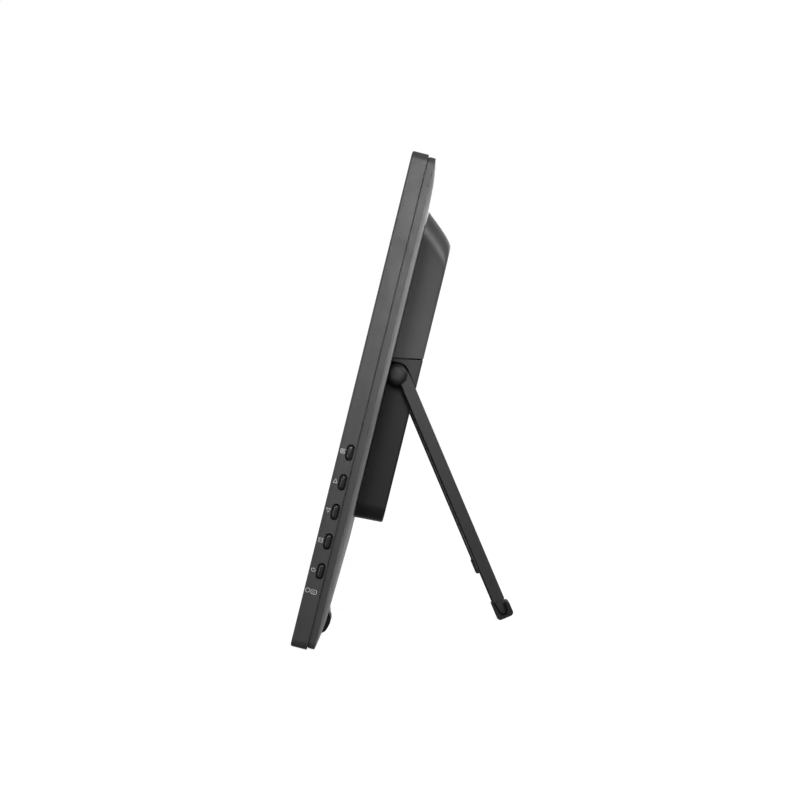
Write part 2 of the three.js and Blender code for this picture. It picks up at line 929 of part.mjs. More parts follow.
// Spacers carry each board from the chassis, and the upper pair of the power board's from the
// tray, because the chassis ends below them.
const spacer = (across, up, foot) =>
  barY(spacerRadius, foot + clearance, boardDepth - clearance, across, up);
const mainSpacers = [mainBoardBottom + spacerInset, mainBoardTop - spacerInset].flatMap(
  (up) => [-1, 1].map((sign) => [sign * (mainBoardWidth / 2 - spacerInset), up]),
);
mainSpacers.forEach(([across, up], i) => {
  piece(head, `main_spacer_${i + 1}`, spacer(across, up, chassisBack), brass);
});
[-1, 1].forEach((sign, i) => {
  const across = sign * (powerBoardWidth / 2 - spacerInset);
  const up = powerBoardTop - spacerInset;
  piece(head, `power_spacer_${i + 1}`, spacer(across, up, trayBack), brass);
});

const chipFront = boardDepth + boardThickness + clearance;
piece(
  head,
  "processor_chip",
  box(
    -chipSize / 2,
    chipSize / 2,
    chipFront,
    chipFront + chipHeight,
    chipUp - chipSize / 2,
    chipUp + chipSize / 2,
  ),
  chipPlastic,
);

// The heat sink is a comb: a base with upright fins.
function heatSink() {
  const half = 20;
  const base = 2;
  const finHeight = 5.5;
  const finCount = 7;
  const finThickness = 1.4;
  const front = chipFront + chipHeight + clearance;
  const parts = [box(-half, half, front, front + base, chipUp - half, chipUp + half)];
  for (let i = 0; i < finCount; i += 1) {
    const across = -half + (i * (2 * half - finThickness)) / (finCount - 1);
    parts.push(
      box(
        across,
        across + finThickness,
        front + base - weld,
        front + base + finHeight,
        chipUp - half,
        chipUp + half,
      ),
    );
  }
  return join(parts);
}
piece(head, "heat_sink", heatSink(), aluminium);
const coil = barY(coilRadius, chipFront, chipFront + coilHeight, coilAcross, coilUp);
piece(head, "power_coil", coil, copper);

// ---------------------------------------------------------------- sockets in the plug bay
// Each socket's mouth faces down, flush with the bay's ceiling.
const socketBlock = ({ across, width, height, length }) =>
  box(
    across - width / 2,
    across + width / 2,
    socketFloor,
    socketFloor + height,
    bayTop,
    bayTop + length,
  );

// A hollow mouth with a flat contact tongue standing in it.
function tongueSocket(socket) {
  const { across, width, height, wall } = socket;
  const [tongueWidth, tongueThickness] = socket.tongue;
  const depth = socket.length - socket.closed;
  const middle = socketFloor + height / 2;
  const mouth = box(
    across - width / 2 + wall,
    across + width / 2 - wall,
    socketFloor + wall,
    socketFloor + height - wall,
    bayTop - past,
    bayTop + depth,
  );
  const tongue = box(
    across - tongueWidth / 2,
    across + tongueWidth / 2,
    middle - tongueThickness / 2,
    middle + tongueThickness / 2,
    bayTop + 2 * weld,
    bayTop + depth + 2 * weld,
  );
  return socketBlock(socket).subtract(mouth).add(tongue);
}

function dcJack(socket) {
  const upright = (radius, low, high) => {
    const geometry = new THREE.CylinderGeometry(radius, radius, high - low, roundSides);
    geometry.rotateX(Math.PI / 2);
    geometry.translate(socket.across, socketFloor + socket.height / 2, (low + high) / 2);
    return solid(geometry);
  };
  const depth = socket.length - socket.closed;
  const barrel = upright(socket.bore, bayTop - past, bayTop + depth);
  const pin = upright(socket.pin, bayTop + 2 * weld, bayTop + depth + 2 * weld);
  return socketBlock(socket).subtract(barrel).add(pin);
}

function cardSocket(socket) {
  const { across, wall, slit } = socket;
  const halfMouth = socket.width / 2 - wall;
  const middle = socketFloor + socket.height / 2;
  const mouth = box(
    across - halfMouth,
    across + halfMouth,
    middle - slit / 2,
    middle + slit / 2,
    bayTop - past,
    bayTop + socket.length - socket.closed,
  );
  return socketBlock(socket).subtract(mouth);
}

piece(head, "dc_jack", dcJack(dcSocket), chipPlastic);
piece(head, "hdmi_socket", tongueSocket(hdmiSocket), steel);
piece(head, "usb_socket", tongueSocket(usbSocket), steel);
piece(head, "card_socket", cardSocket(cardSlot), darkSteel);

// ---------------------------------------------------------------- speakers
for (const [side, sign] of sides) {
  const back = housingBack - housingWall - speakerGap;
  const middle = sign * speakerAcross;
  const body = box(
    middle - speakerWidth / 2,
    middle + speakerWidth / 2,
    back - speakerDepth,
    back,
    speakerBottom,
    speakerBottom + speakerHeight,
  );
  const cone = new THREE.CylinderGeometry(coneOuter, coneInner, coneDepth + past, roundSides);
  cone.translate(middle, back - (coneDepth - past) / 2, speakerUp);
  piece(head, `speaker_${side}`, body.subtract(solid(cone)), chipPlastic);
}

// ---------------------------------------------------------------- keys, switches and key board
const wallInside = bodyWidth / 2 - shellWall;
const flangeOuter = wallInside - keyFlangeGap;
const flangeInner = flangeOuter - keyFlangeThickness;
const switchTop = flangeInner - keyTravel - clearance;
const switchBase = switchTop - switchHeight;
const keyBoardOuter = switchBase - clearance;
const keyBoardInner = keyBoardOuter - keyBoardThickness;

keyNames.forEach((name, i) => {
  const up = keyHeights[i];
  const width = keySlotWidth - 2 * keyGap;
  const length = keySlotLength - 2 * keyGap;
  const stem = alongX(
    stadium(width, length, keyDepth, up),
    flangeInner,
    bodyWidth / 2 + keyProud,
  );
  const flange = alongX(
    stadium(keySlotWidth + keyFlange, keySlotLength + keyFlange, keyDepth, up),
    flangeInner,
    flangeOuter,
  );
  piece(head, `key_${name}`, stem.add(flange), keyPlastic);
  const tact = box(
    switchBase,
    switchTop,
    keyDepth - switchSize / 2,
    keyDepth + switchSize / 2,
    up - switchSize / 2,
    up + switchSize / 2,
  );
  piece(head, `switch_${name}`, tact, chipPlastic);
});

const keyBoard = box(
  keyBoardInner,
  keyBoardOuter,
  keyDepth - keyBoardFront,
  keyDepth + keyBoardBack,
  keyHeights[0] - keyBoardMargin,
  keyHeights[keyNames.length - 1] + keyBoardMargin,
);
piece(head, "key_board", keyBoard, circuitBoard);

// ---------------------------------------------------------------- ribbon cables
// From the tray's back, through the chassis, to the main board's front.
function panelCable() {
  const low = trayBack + clearance;
  const high = boardDepth - clearance;
  const middle = (low + high) / 2;
  const points = [
    [low, cableSlotUp - ribbonBend],
    [middle, cableSlotUp + ribbonBend],
    [high, cableSlotUp - ribbonBend],
    [high, cableSlotUp - ribbonBend + ribbonThickness],
    [middle, cableSlotUp + ribbonBend + ribbonThickness],
    [low, cableSlotUp - ribbonBend + ribbonThickness],
  ];
  return alongX(shapeOf(points), -panelCableWidth / 2, panelCableWidth / 2);
}
piece(head, "panel_cable", panelCable(), ribbon);

// From the key board, behind the tray, to the side of the main board.
function keyCable() {
  const across = chassisBack + chassisGap;
  const fromBoard = 1;
  const start = keyBoardInner - fromBoard;
  const front = keyDepth + keyBoardFront;
  const end = mainBoardWidth / 2 + 4 * fromBoard;
  const outline = shapeOf([
    [start, front],
    [start, across + ribbonThickness],
    [end + ribbonThickness, across + ribbonThickness],
    [end + ribbonThickness, boardDepth],
    [end, boardDepth],
    [end, across],
    [start - ribbonThickness, across],
    [start - ribbonThickness, front],
  ]);
  const low = keyHeights[2] + keyCableWidth;
  return solid(extruded(outline, keyCableWidth).translate(0, 0, low));
}
piece(head, "key_cable", keyCable(), ribbon);

// ---------------------------------------------------------------- housing screws
wells.forEach((well, i) => {
  const seat = wellFloor + clearance;
  const top = seat + screwHeadHeight;
  const screw = join([
    barY(screwHeadRadius, seat, top, well.across, well.up),
    barY(screwShankRadius, backDepth - screwReach, seat + weld, well.across, well.up),
  ]);
  const slotFloor = top - screwCrossDepth;
  const cross = [
    [screwCrossReach, screwCrossHalf],
    [screwCrossHalf, screwCrossReach],
  ].map(([w, h]) =>
    box(well.across - w, well.across + w, slotFloor, top + past, well.up - h, well.up + h),
  );
  piece(head, `housing_screw_${i + 1}`, cut(screw, cross), darkSteel);
});

// ---------------------------------------------------------------- hinge brackets and bushes
for (const [side, sign] of sides) {
  const earNear = bracketEar;
  const earFar = bracketEar + bracketThickness;
  const low = hingeHeight - bracketHeight / 2;
  const high = hingeHeight + bracketHeight / 2;
  const plateBack = housingBase + bracketThickness;
  const plateFar = bracketEar + bracketWidth / 2 + bracketTabShift;
  const plateNear = plateFar - bracketWidth;
  const bracket = join([
    sideBox(sign, earNear, earFar, housingBase, housingBase + bracketReach, low, high),
    sideBox(sign, plateNear, plateFar, housingBase, plateBack, low, low + bracketTab),
    sideBox(sign, plateNear, plateFar, housingBase, plateBack, high - bracketTab, high),
  ]);
  const bushRadius = shaftRadius + clearance + bushWall;
  const bore = (radius, near, far) =>
    sideBarX(sign, radius, near, far, hingeDepth, hingeHeight);
  piece(
    head,
    `hinge_bracket_${side}`,
    bracket.subtract(bore(bushRadius + clearance, earNear - past, earFar + past)),
    steel,
  );
  const bushNear = earNear - bushProud;
  const bushFar = earFar + bushProud;
  const bush = bore(bushRadius, bushNear, bushFar).subtract(
    bore(shaftRadius + clearance, bushNear - past, bushFar + past),
  );
  piece(head, `hinge_bush_${side}`, bush, clearPlastic);
}

// ---------------------------------------------------------------- stand
// Drawn about the hinge axis, hanging straight down: y is towards the leg's back edge.
// The end of the leg narrows to a tip that the rubber boot grips, in (y, z).
const tipTop = -(legReach - tipLength);
const tipEnd = -(legReach - bootSole);

const tipFrontStep = 0.9;
const tipRearStep = 0.4;
const tipOutline = [
  [legFront + tipFrontStep, tipTop],
  [legFront + 2.4, tipEnd],
  [legRear - 2.8, tipEnd],
  [legRear - 1, tipEnd + 2.6],
  [legRear - tipRearStep, tipTop],
];

const socketEnd = legOuter - socketFromEnd; // the shaft's sockets in the legs end here

function standLeg(sign) {
  const bar = sideAlongX(
    sign,
    shapeOf([
      [legFront, 0],
      [legFront, tipTop],
      ...tipOutline,
      [legRear, tipTop],
      [legRear, -legBlend],
      [knuckleRadius, 0],
    ]),
    legInner,
    legOuter,
  );
  // The knuckle is turned about the hinge axis, with a domed outer end.
  const inner = narrowHalfWidth + 2 * clearance;
  const chamfer = 1;
  const domeStart = legOuter - 1.5;
  const domeHeight = legOuter + knuckleDome - domeStart;
  const dome = [0, 0.3, 0.6, 0.85, 1].map((share) => {
    const angle = (share * Math.PI) / 2;
    return new THREE.Vector2(
      knuckleRadius * Math.cos(angle),
      domeStart + domeHeight * Math.sin(angle),
    );
  });
  dome[dome.length - 1].x = 0;
  const profile = [
    new THREE.Vector2(0, inner),
    new THREE.Vector2(knuckleRadius - chamfer, inner),
    new THREE.Vector2(knuckleRadius, inner + chamfer),
    ...dome,
  ];
  const turned = new THREE.LatheGeometry(profile, roundSides);
  turned.rotateZ(-sign * (Math.PI / 2));
  const bore = sideBarX(sign, shaftRadius + clearance, inner - past, socketEnd, 0, 0);
  return solid(turned).add(bar).subtract(bore);
}

function standBoot(sign) {
  const front = bootFrontFace;
  const back = legRear + bootRear;
  const low = -legReach;
  const outline = new THREE.Shape();
  outline.moveTo(front, tipTop);
  outline.lineTo(front, low + bootCorner);
  outline.absarc(front + bootCorner, low + bootCorner, bootCorner, Math.PI, 1.5 * Math.PI);
  outline.absarc(back - bootCorner, low + bootCorner, bootCorner, 1.5 * Math.PI, 2 * Math.PI);
  outline.lineTo(back, low + bootRearArm);
  outline.lineTo(legRear - tipRearStep, low + bootRearArm + bootArmSlope);
  outline.lineTo(legRear - bootArmInset, low + bootRearArm + bootArmSlope);
  outline.lineTo(legFront + bootArmInset, tipTop);
  const near = legInner - bootSide;
  const far = legOuter + bootSide;
  const grip = shapeOf(grown(tipOutline, clearance));
  const overFront = legFront + tipFrontStep - clearance;
  const overBack = legRear + clearance;
  const over = shapeOf([
    [overFront, tipTop - past],
    [overBack, tipTop - past],
    [overBack, tipTop + past],
    [overFront, tipTop + past],
  ]);
  return cut(sideAlongX(sign, outline, near, far), [
    sideAlongX(sign, grip, near - past, far + past),
    sideAlongX(sign, over, near - past, far + past),
  ]);
}

for (const [side, sign] of sides) {
  piece(stand, `stand_leg_${side}`, standLeg(sign), legPaint);
  piece(stand, `stand_foot_${side}`, standBoot(sign), rubber);
  const clipNear = bracketEar + bracketThickness + bushProud + clipFromBush;
  const clipFar = clipNear + clipThickness;
  const clip = sideBarX(sign, clipRadius, clipNear, clipFar).subtract(
    sideBarX(sign, shaftRadius + clearance, clipNear - past, clipFar + past),
  );
  piece(stand, `hinge_clip_${side}`, clip, steel);
}
const shaftHalf = socketEnd - clearance;
piece(stand, "hinge_shaft", barX(shaftRadius, -shaftHalf, shaftHalf), darkSteel);

// ---------------------------------------------------------------- placing
head.rotation.x = -lean;
head.position.z = headLift;
stand.rotation.x = standAngle;
stand.position.set(
  0,
  hingeDepth * Math.cos(lean) + hingeHeight * Math.sin(lean),
  hingeAbove,
);
// The origin is the middle of the footprint, from the head's front edge to the stand's boots.
const footprint = new THREE.Box3().setFromObject(stage, true);
stage.position.y = -(footprint.min.y + footprint.max.y) / 2;

export default group;
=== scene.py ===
# The looks of a large table-top digital photo frame: a flat display that leans back on two
# folding legs, with a housing on its back, five keys on its right edge and rubber feet.
# Sizes are in millimetres, in the display's own axes: X across, Y from the front face to the
# back, Z up the display from its bottom front edge. HEAD and STAND turn them into the frame's
# metres.
import json
import math

import bmesh
import bpy
from mathutils import Matrix, Vector


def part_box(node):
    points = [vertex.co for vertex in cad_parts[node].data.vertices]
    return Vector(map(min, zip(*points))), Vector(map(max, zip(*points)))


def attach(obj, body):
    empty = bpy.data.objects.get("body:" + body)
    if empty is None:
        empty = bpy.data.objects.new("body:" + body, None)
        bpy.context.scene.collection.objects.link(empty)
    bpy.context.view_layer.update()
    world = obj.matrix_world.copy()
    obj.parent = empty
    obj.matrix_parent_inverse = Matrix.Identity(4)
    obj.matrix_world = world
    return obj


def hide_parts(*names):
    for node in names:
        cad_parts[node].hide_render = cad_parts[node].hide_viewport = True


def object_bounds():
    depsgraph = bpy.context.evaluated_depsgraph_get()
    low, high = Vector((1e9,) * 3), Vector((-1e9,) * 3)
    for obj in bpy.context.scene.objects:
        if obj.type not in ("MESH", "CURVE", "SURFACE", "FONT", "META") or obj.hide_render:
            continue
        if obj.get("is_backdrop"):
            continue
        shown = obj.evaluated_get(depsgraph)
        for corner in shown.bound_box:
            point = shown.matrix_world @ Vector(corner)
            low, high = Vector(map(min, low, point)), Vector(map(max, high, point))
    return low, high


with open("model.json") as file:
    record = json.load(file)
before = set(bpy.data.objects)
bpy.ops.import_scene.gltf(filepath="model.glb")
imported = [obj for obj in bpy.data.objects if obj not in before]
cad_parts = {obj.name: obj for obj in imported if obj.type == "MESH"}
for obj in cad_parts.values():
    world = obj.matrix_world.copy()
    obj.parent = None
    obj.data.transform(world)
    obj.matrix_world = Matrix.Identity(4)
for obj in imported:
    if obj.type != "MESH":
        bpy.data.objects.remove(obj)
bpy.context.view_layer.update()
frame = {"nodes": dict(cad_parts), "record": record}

# ---------------------------------------------------------------- sizes
HALF_WIDTH = 256
HEIGHT = 307.5
CORNER = 6
LEAN = 13.8
STAND_ANGLE = 23.05
BEZEL_DEPTH = 10.2
BEZEL_EDGE = 1.1
WALL = 2.2
SCREEN_HALF = 238.5
SCREEN_LOW = 18.5
SCREEN_HIGH = HEIGHT - 18.5
GLASS_FRONT = 2.5
GLASS_BACK = 3.7
GLASS_OVERLAP = 4
COVER_FRONT = 10.6
COVER_INSET = 1.2
COVER_RIM = 14.6
COVER_BACK = 17.4
CROWN_RUN = 22
FOOT_LIFT = 0.2
FOOT_TOP = 14
FOOT_PROUD = 0.2
FOOT_BULGE = 3.4
FOOT_BOSS_TOP = 17.6
HOUSING_START = 17.7
HOUSING_DEPTH = 20.9
HOUSING_BACK = COVER_BACK + HOUSING_DEPTH
HOUSING_HALF = 133
NARROW_HALF = 119.5
HOUSING_LOW = 72
HOUSING_HIGH = 292
HOUSING_DRAFT = 2.2
HOUSING_BOTTOM_DRAFT = 0.8
HOUSING_EDGE = 1.2
HOUSING_WALL = 2.2
TOP_CROWN = 16.2
TOP_DROP = 20.6
TOP_CORNER = 24
LOW_CORNER = 12
SEAM = 186.1
SEAM_SLOPE = math.tan(math.radians(11))
SEAM_GAP = 1
OPENING_HALF = 78
OPENING_LOW = 84
OPENING_HIGH = 262
BAY_HALF = 60
BAY_TOP = 86
BAY_WALL = 2
HINGE_Y = 23
HINGE_Z = 175.8
OPEN_ANGLE = math.radians(LEAN + STAND_ANGLE)
KNUCKLE = 7.6
KNUCKLE_ROOM = 0.8
KNUCKLE_DOME = 3
KNUCKLE_ROUND = 0.35
LEG_INNER = 121.5
LEG_OUTER = 133.5
LEG_FRONT = -0.8
LEG_REAR = 8.3
STOP_GAP = 0.5
TIP_LENGTH = 12.4
SOLE = 2.2
BOOT_FRONT = -1.7
BOOT_REAR = 10.2
BOOT_SIDE = 0.7
BOOT_CORNER = 2.5
FOOT_NEAR = 174
FOOT_FAR = 190
KEY_DEPTH = 7.05
KEY_SLOT = (4.5, 9.8)
KEY_CAP = (3.2, 8.5)
LOWEST_KEY = 48.8
KEY_PITCH = 18.3
KEY_HEIGHTS = {
    name: LOWEST_KEY + KEY_PITCH * i
    for i, name in enumerate(["power", "source", "down", "up", "menu"])
}
SCREWS = [(104, 238), (84, 156), (104, 82)]
SPEAKER_X = 100.5
SPEAKER_Z = 120

MM = 0.001
hinge_low, hinge_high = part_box("hinge_shaft")
hinge = (hinge_low + hinge_high) / 2
millimetres = Matrix.Scale(MM, 4)
HEAD = (
    Matrix.Translation(hinge)
    @ Matrix.Rotation(-math.radians(LEAN), 4, "X")
    @ millimetres
    @ Matrix.Translation((0, -HINGE_Y, -HINGE_Z))
)
STAND = Matrix.Translation(hinge) @ Matrix.Rotation(math.radians(STAND_ANGLE), 4, "X") @ millimetres
# The leg is as long as the boot's round front corner needs to touch the table.
opened = math.radians(STAND_ANGLE)
corner_height = hinge.z / MM + (BOOT_FRONT + BOOT_CORNER) * math.sin(opened) - BOOT_CORNER
LEG_REACH = BOOT_CORNER + corner_height / math.cos(opened)


# ---------------------------------------------------------------- shape tools
# A shape is (points, faces), in the axes that its matrix places.
def loft(rings, closed=False):
    """A skin over rings of equal length. Its ends are capped, or joined if it is closed."""
    count = len(rings[0])
    points = [tuple(p) for ring in rings for p in ring]
    faces = []
    last = len(rings) if closed else len(rings) - 1
    for r in range(last):
        a, b = r * count, (r + 1) % len(rings) * count
        for i in range(count):
            j = (i + 1) % count
            faces.append((a + i, a + j, b + j, b + i))
    if not closed:
        faces.append(tuple(range(count))[::-1])
        faces.append(tuple(range(len(points) - count, len(points))))
    return points, faces


def merge(*shapes):
    points, faces = [], []
    for some_points, some_faces in shapes:
        start = len(points)
        points += some_points
        faces += [tuple(start + i for i in face) for face in some_faces]
    return points, faces


def prism_x(outline, x0, x1):
    """An outline in (y, z), from x0 to x1."""
    return loft([[(x, y, z) for y, z in outline] for x in (x0, x1)])


def block(x0, x1, y0, y1, z0, z1):
    return prism_x([(y0, z0), (y1, z0), (y1, z1), (y0, z1)], x0, x1)


def arc(cx, cy, radius, start, end, steps):
    """Points on an arc, with its angles in degrees."""
    angles = [math.radians(start + (end - start) * i / steps) for i in range(steps + 1)]
    return [(cx + radius * math.cos(a), cy + radius * math.sin(a)) for a in angles]


def rounded(half, low, high, low_radius, high_radius=None, steps=10):
    """A rectangle in (x, z) with round corners."""
    top = low_radius if high_radius is None else high_radius
    return (
        arc(half - low_radius, low + low_radius, low_radius, -90, 0, steps)
        + arc(half - top, high - top, top, 0, 90, steps)
        + arc(-half + top, high - top, top, 90, 180, steps)
        + arc(-half + low_radius, low + low_radius, low_radius, 180, 270, steps)
    )


def at_depth(outline, y):
    return [(x, y, z) for x, z in outline]


def stadium(width, length, across, up, steps=10):
    radius = width / 2
    straight = length / 2 - radius
    return arc(across, up + straight, radius, 0, 180, steps) + arc(
        across, up - straight, radius, 180, 360, steps
    )


def bar_x(radius, x0, x1, y, z, sides=40):
    return prism_x(arc(y, z, radius, 0, 360 - 360 / sides, sides - 1), x0, x1)


def bar_y(radius, y0, y1, x, z, sides=32):
    ring = arc(x, z, radius, 0, 360 - 360 / sides, sides - 1)
    return loft([at_depth(ring, y) for y in (y0, y1)])


def turned_x(profile, y, z, sides=56):
    """A closed body turned about X, through (radius, x) pairs."""
    rings = []
    for radius, x in profile:
        ring = arc(y, z, radius, 0, 360 - 360 / sides, sides - 1)
        rings.append([(x, a, b) for a, b in ring])
    return loft(rings)


def mirrored(shape, sign):
    points, faces = shape
    return [(sign * x, y, z) for x, y, z in points], faces


def both(shape):
    return merge(mirrored(shape, 1), mirrored(shape, -1))


def grown(outline, distance):
    """An outline with its edges moved outwards."""
    count = len(outline)
    twice = sum(
        outline[i][0] * outline[(i + 1) % count][1] - outline[(i + 1) % count][0] * outline[i][1]
        for i in range(count)
    )
    side = 1 if twice > 0 else -1
    made = []
    for i in range(count):
        here = Vector(outline[i])
        before = here - Vector(outline[i - 1])
        after = Vector(outline[(i + 1) % count]) - here
        a = Vector((before.y, -before.x)).normalized() * side
        b = Vector((after.y, -after.x)).normalized() * side
        middle = a + b
        made.append(tuple(here + middle * distance / max(0.3, middle.length_squared / 2)))
    return made


# ---------------------------------------------------------------- mesh tools
WELD = 1e-5


def new_object(name, shape):
    mesh = bpy.data.meshes.new(name)
    mesh.from_pydata(shape[0], [], shape[1])
    made = bpy.data.objects.new(name, mesh)
    bpy.context.scene.collection.objects.link(made)
    tidy = bmesh.new()
    tidy.from_mesh(mesh)
    bmesh.ops.remove_doubles(tidy, verts=tidy.verts, dist=WELD)
    bmesh.ops.dissolve_degenerate(tidy, edges=tidy.edges, dist=WELD)
    bmesh.ops.recalc_face_normals(tidy, faces=tidy.faces)
    tidy.to_mesh(mesh)
    tidy.free()
    return made


def combine(made, shape, operation):
    """Joins to, cuts from or keeps the shared part of an object and a shape."""
    tool = new_object("tool", shape)
    modifier = made.modifiers.new("combine", "BOOLEAN")
    modifier.operation = operation
    modifier.solver = "EXACT"
    modifier.object = tool
    graph = bpy.context.evaluated_depsgraph_get()
    result = bpy.data.meshes.new_from_object(made.evaluated_get(graph))
    made.modifiers.clear()
    old = made.data
    made.data = result
    bpy.data.meshes.remove(old)
    bpy.data.objects.remove(tool)


def finish_piece(made, place, material, body, slot, stands_for=(), bevel=0, sharp=32):
    """Places a piece in the frame, shades it and lets it ride on its body."""
    made.data.transform(place)
    made.data.materials.clear()
    made.data.materials.append(material)
    made.data.shade_smooth()
    made.data.set_sharp_from_angle(angle=math.radians(sharp))
    if bevel:
        modifier = made.modifiers.new("edges", "BEVEL")
        modifier.width = bevel * MM
        modifier.segments = 2
        modifier.limit_method = "ANGLE"
        modifier.angle_limit = math.radians(sharp)
        modifier.harden_normals = True
    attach(made, body)
    if stands_for:
        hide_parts(*stands_for)


def piece(name, shape, place, material, body, slot, stands_for=(), **looks):
    finish_piece(new_object(name, shape), place, material, body, slot, stands_for, **looks)


# ---------------------------------------------------------------- materials
# The mix node's sockets for colours.
MIX_A, MIX_B, MIX_RESULT = 6, 7, 2


class Look:
    """A material whose colour, roughness and relief come from patterns fixed to the piece."""

    def __init__(self, name, metallic=0.0, **sockets):
        self.material = bpy.data.materials.new(name)
        self.material.use_nodes = True
        self.nodes = self.material.node_tree.nodes
        self.links = self.material.node_tree.links
        self.shader = self.nodes["Principled BSDF"]
        self.shader.inputs["Metallic"].default_value = metallic
        for socket, value in sockets.items():
            self.shader.inputs[socket.replace("_", " ")].default_value = value
        self.place = self.nodes.new("ShaderNodeTexCoord").outputs["Object"]

    def noise(self, grain, detail=2.0, roughness=0.5, stretch=None):
        """Noise whose features are about this many millimetres across."""
        made = self.nodes.new("ShaderNodeTexNoise")
        made.inputs["Scale"].default_value = 1 / (grain * MM)
        made.inputs["Detail"].default_value = detail
        made.inputs["Roughness"].default_value = roughness
        self.links.new(self.stretched(stretch), made.inputs["Vector"])
        return made.outputs["Fac"]

    def cells(self, grain):
        made = self.nodes.new("ShaderNodeTexVoronoi")
        made.inputs["Scale"].default_value = 1 / (grain * MM)
        self.links.new(self.place, made.inputs["Vector"])
        return made.outputs["Distance"]

    def stretched(self, stretch):
        if stretch is None:
            return self.place
        made = self.nodes.new("ShaderNodeMapping")
        made.inputs["Scale"].default_value = stretch
        self.links.new(self.place, made.inputs["Vector"])
        return made.outputs["Vector"]

    def spread(self, value, low, high, source_low=0.3, source_high=0.7):
        made = self.nodes.new("ShaderNodeMapRange")
        made.inputs["From Min"].default_value = source_low
        made.inputs["From Max"].default_value = source_high
        made.inputs["To Min"].default_value = low
        made.inputs["To Max"].default_value = high
        self.links.new(value, made.inputs["Value"])
        return made.outputs["Result"]

    def mix(self, factor, a, b):
        made = self.nodes.new("ShaderNodeMix")
        made.data_type = "RGBA"
        for index, value in ((MIX_A, a), (MIX_B, b)):
            if isinstance(value, tuple):
                made.inputs[index].default_value = (*value, 1)
            else:
                self.links.new(value, made.inputs[index])
        self.links.new(factor, made.inputs[0])
        return made.outputs[MIX_RESULT]

    def colour(self, value):
        self.links.new(value, self.shader.inputs["Base Color"])

    def roughness(self, value):
        self.links.new(value, self.shader.inputs["Roughness"])

    def relief(self, layers):
        """Stacks bumps, each a (height, depth in millimetres) pair."""
        under = None
        for height, depth in layers:
            made = self.nodes.new("ShaderNodeBump")
            made.inputs["Distance"].default_value = depth * MM
            made.inputs["Strength"].default_value = 1.0
            self.links.new(height, made.inputs["Height"])
            if under is not None:
                self.links.new(under, made.inputs["Normal"])
            under = made.outputs["Normal"]
        self.links.new(under, self.shader.inputs["Normal"])


def moulded(name, dark, light, rough, grain=0.45, depth=0.02, edge_wear_and_highlight=0.0, **sockets):
    """Spark-textured moulded plastic, with faint flow marks, and sharp edges made lighter partly by
    rub wear and partly by a painted edge highlight.
    """
    look = Look(name, **sockets)
    clouds = look.noise(38, detail=4, roughness=0.6)
    specks = look.noise(grain, detail=3, roughness=0.65)
    base = look.mix(look.spread(clouds, 0, 1), dark, light)
    if edge_wear_and_highlight:
        # Sharp edges are lightened: partly rub wear, partly a painted edge highlight.
        edges = look.nodes.new("ShaderNodeNewGeometry").outputs["Pointiness"]
        wear_and_highlight_mask = look.spread(edges, 0, edge_wear_and_highlight, 0.52, 0.62)
        base = look.mix(wear_and_highlight_mask, base, tuple(min(1, 3.2 * c) for c in light))
    pale = tuple(1.35 * c for c in light)
    look.colour(look.mix(look.spread(specks, 0, 0.5, 0.55, 0.8), base, pale))
    look.roughness(look.spread(look.noise(9, detail=3), rough - 0.03, rough + 0.03))
    look.relief([(specks, depth), (look.cells(grain * 1.7), depth * 0.6)])
    return look.material


def metal(name, dark, light, rough, stretch=None):
    """Rolled or drawn metal with fine lines along one way."""
    look = Look(name, metallic=1.0)
    lines = look.noise(0.6, detail=4, roughness=0.6, stretch=stretch)
    stains = look.noise(14, detail=3)
    look.colour(look.mix(look.spread(stains, 0, 1), dark, light))
    look.roughness(look.spread(lines, rough - 0.08, rough + 0.1))
    look.relief([(lines, 0.004)])
    return look.material


def plain(name, dark, light, rough, size, **sockets):
    """A small part's finish: two close tones, an uneven gloss and a light grain."""
    look = Look(name, **sockets)
    tones = look.noise(size, detail=3)
    grain = look.noise(0.4, detail=2)
    look.colour(look.mix(look.spread(tones, 0, 1), dark, light))
    look.roughness(look.spread(grain, rough - 0.05, rough + 0.08))
    look.relief([(grain, 0.006)])
    return look.material


def circuit_board(name):
    """Green solder mask over a pattern of tracks."""
    look = Look(name, Roughness=0.35)
    tracks = look.nodes.new("ShaderNodeTexBrick")
    tracks.inputs["Scale"].default_value = 160
    tracks.inputs["Mortar Size"].default_value = 0.03
    tracks.inputs["Color1"].default_value = (0.012, 0.075, 0.03, 1)
    tracks.inputs["Color2"].default_value = (0.016, 0.1, 0.04, 1)
    tracks.inputs["Mortar"].default_value = (0.03, 0.16, 0.07, 1)
    look.links.new(look.place, tracks.inputs["Vector"])
    look.colour(tracks.outputs["Color"])
    look.relief([(look.noise(1.2), 0.01)])
    return look.material


def screen_glass(name):
    """A dark display under an anti-glare film, with its picture area inside a black border."""
    look = Look(name, Coat_Weight=0.35, Coat_Roughness=0.12)
    axes = look.nodes.new("ShaderNodeSeparateXYZ")
    look.links.new(look.place, axes.inputs["Vector"])
    across = look.nodes.new("ShaderNodeMath")
    across.operation = "ABSOLUTE"
    look.links.new(axes.outputs["X"], across.inputs[0])
    black_border, blur = 1.2, 0.2
    edge = (SCREEN_HALF - black_border) * MM
    border = look.spread(across.outputs[0], 0, 1, edge, edge + blur * MM)
    haze = look.noise(60, detail=2)
    picture = look.mix(look.spread(haze, 0, 1), (0.0055, 0.006, 0.0075), (0.009, 0.0095, 0.011))
    look.colour(look.mix(border, picture, (0.002, 0.002, 0.002)))
    grain = look.noise(0.25, detail=2)
    look.roughness(look.spread(grain, 0.2, 0.3))
    look.relief([(grain, 0.002)])
    return look.material


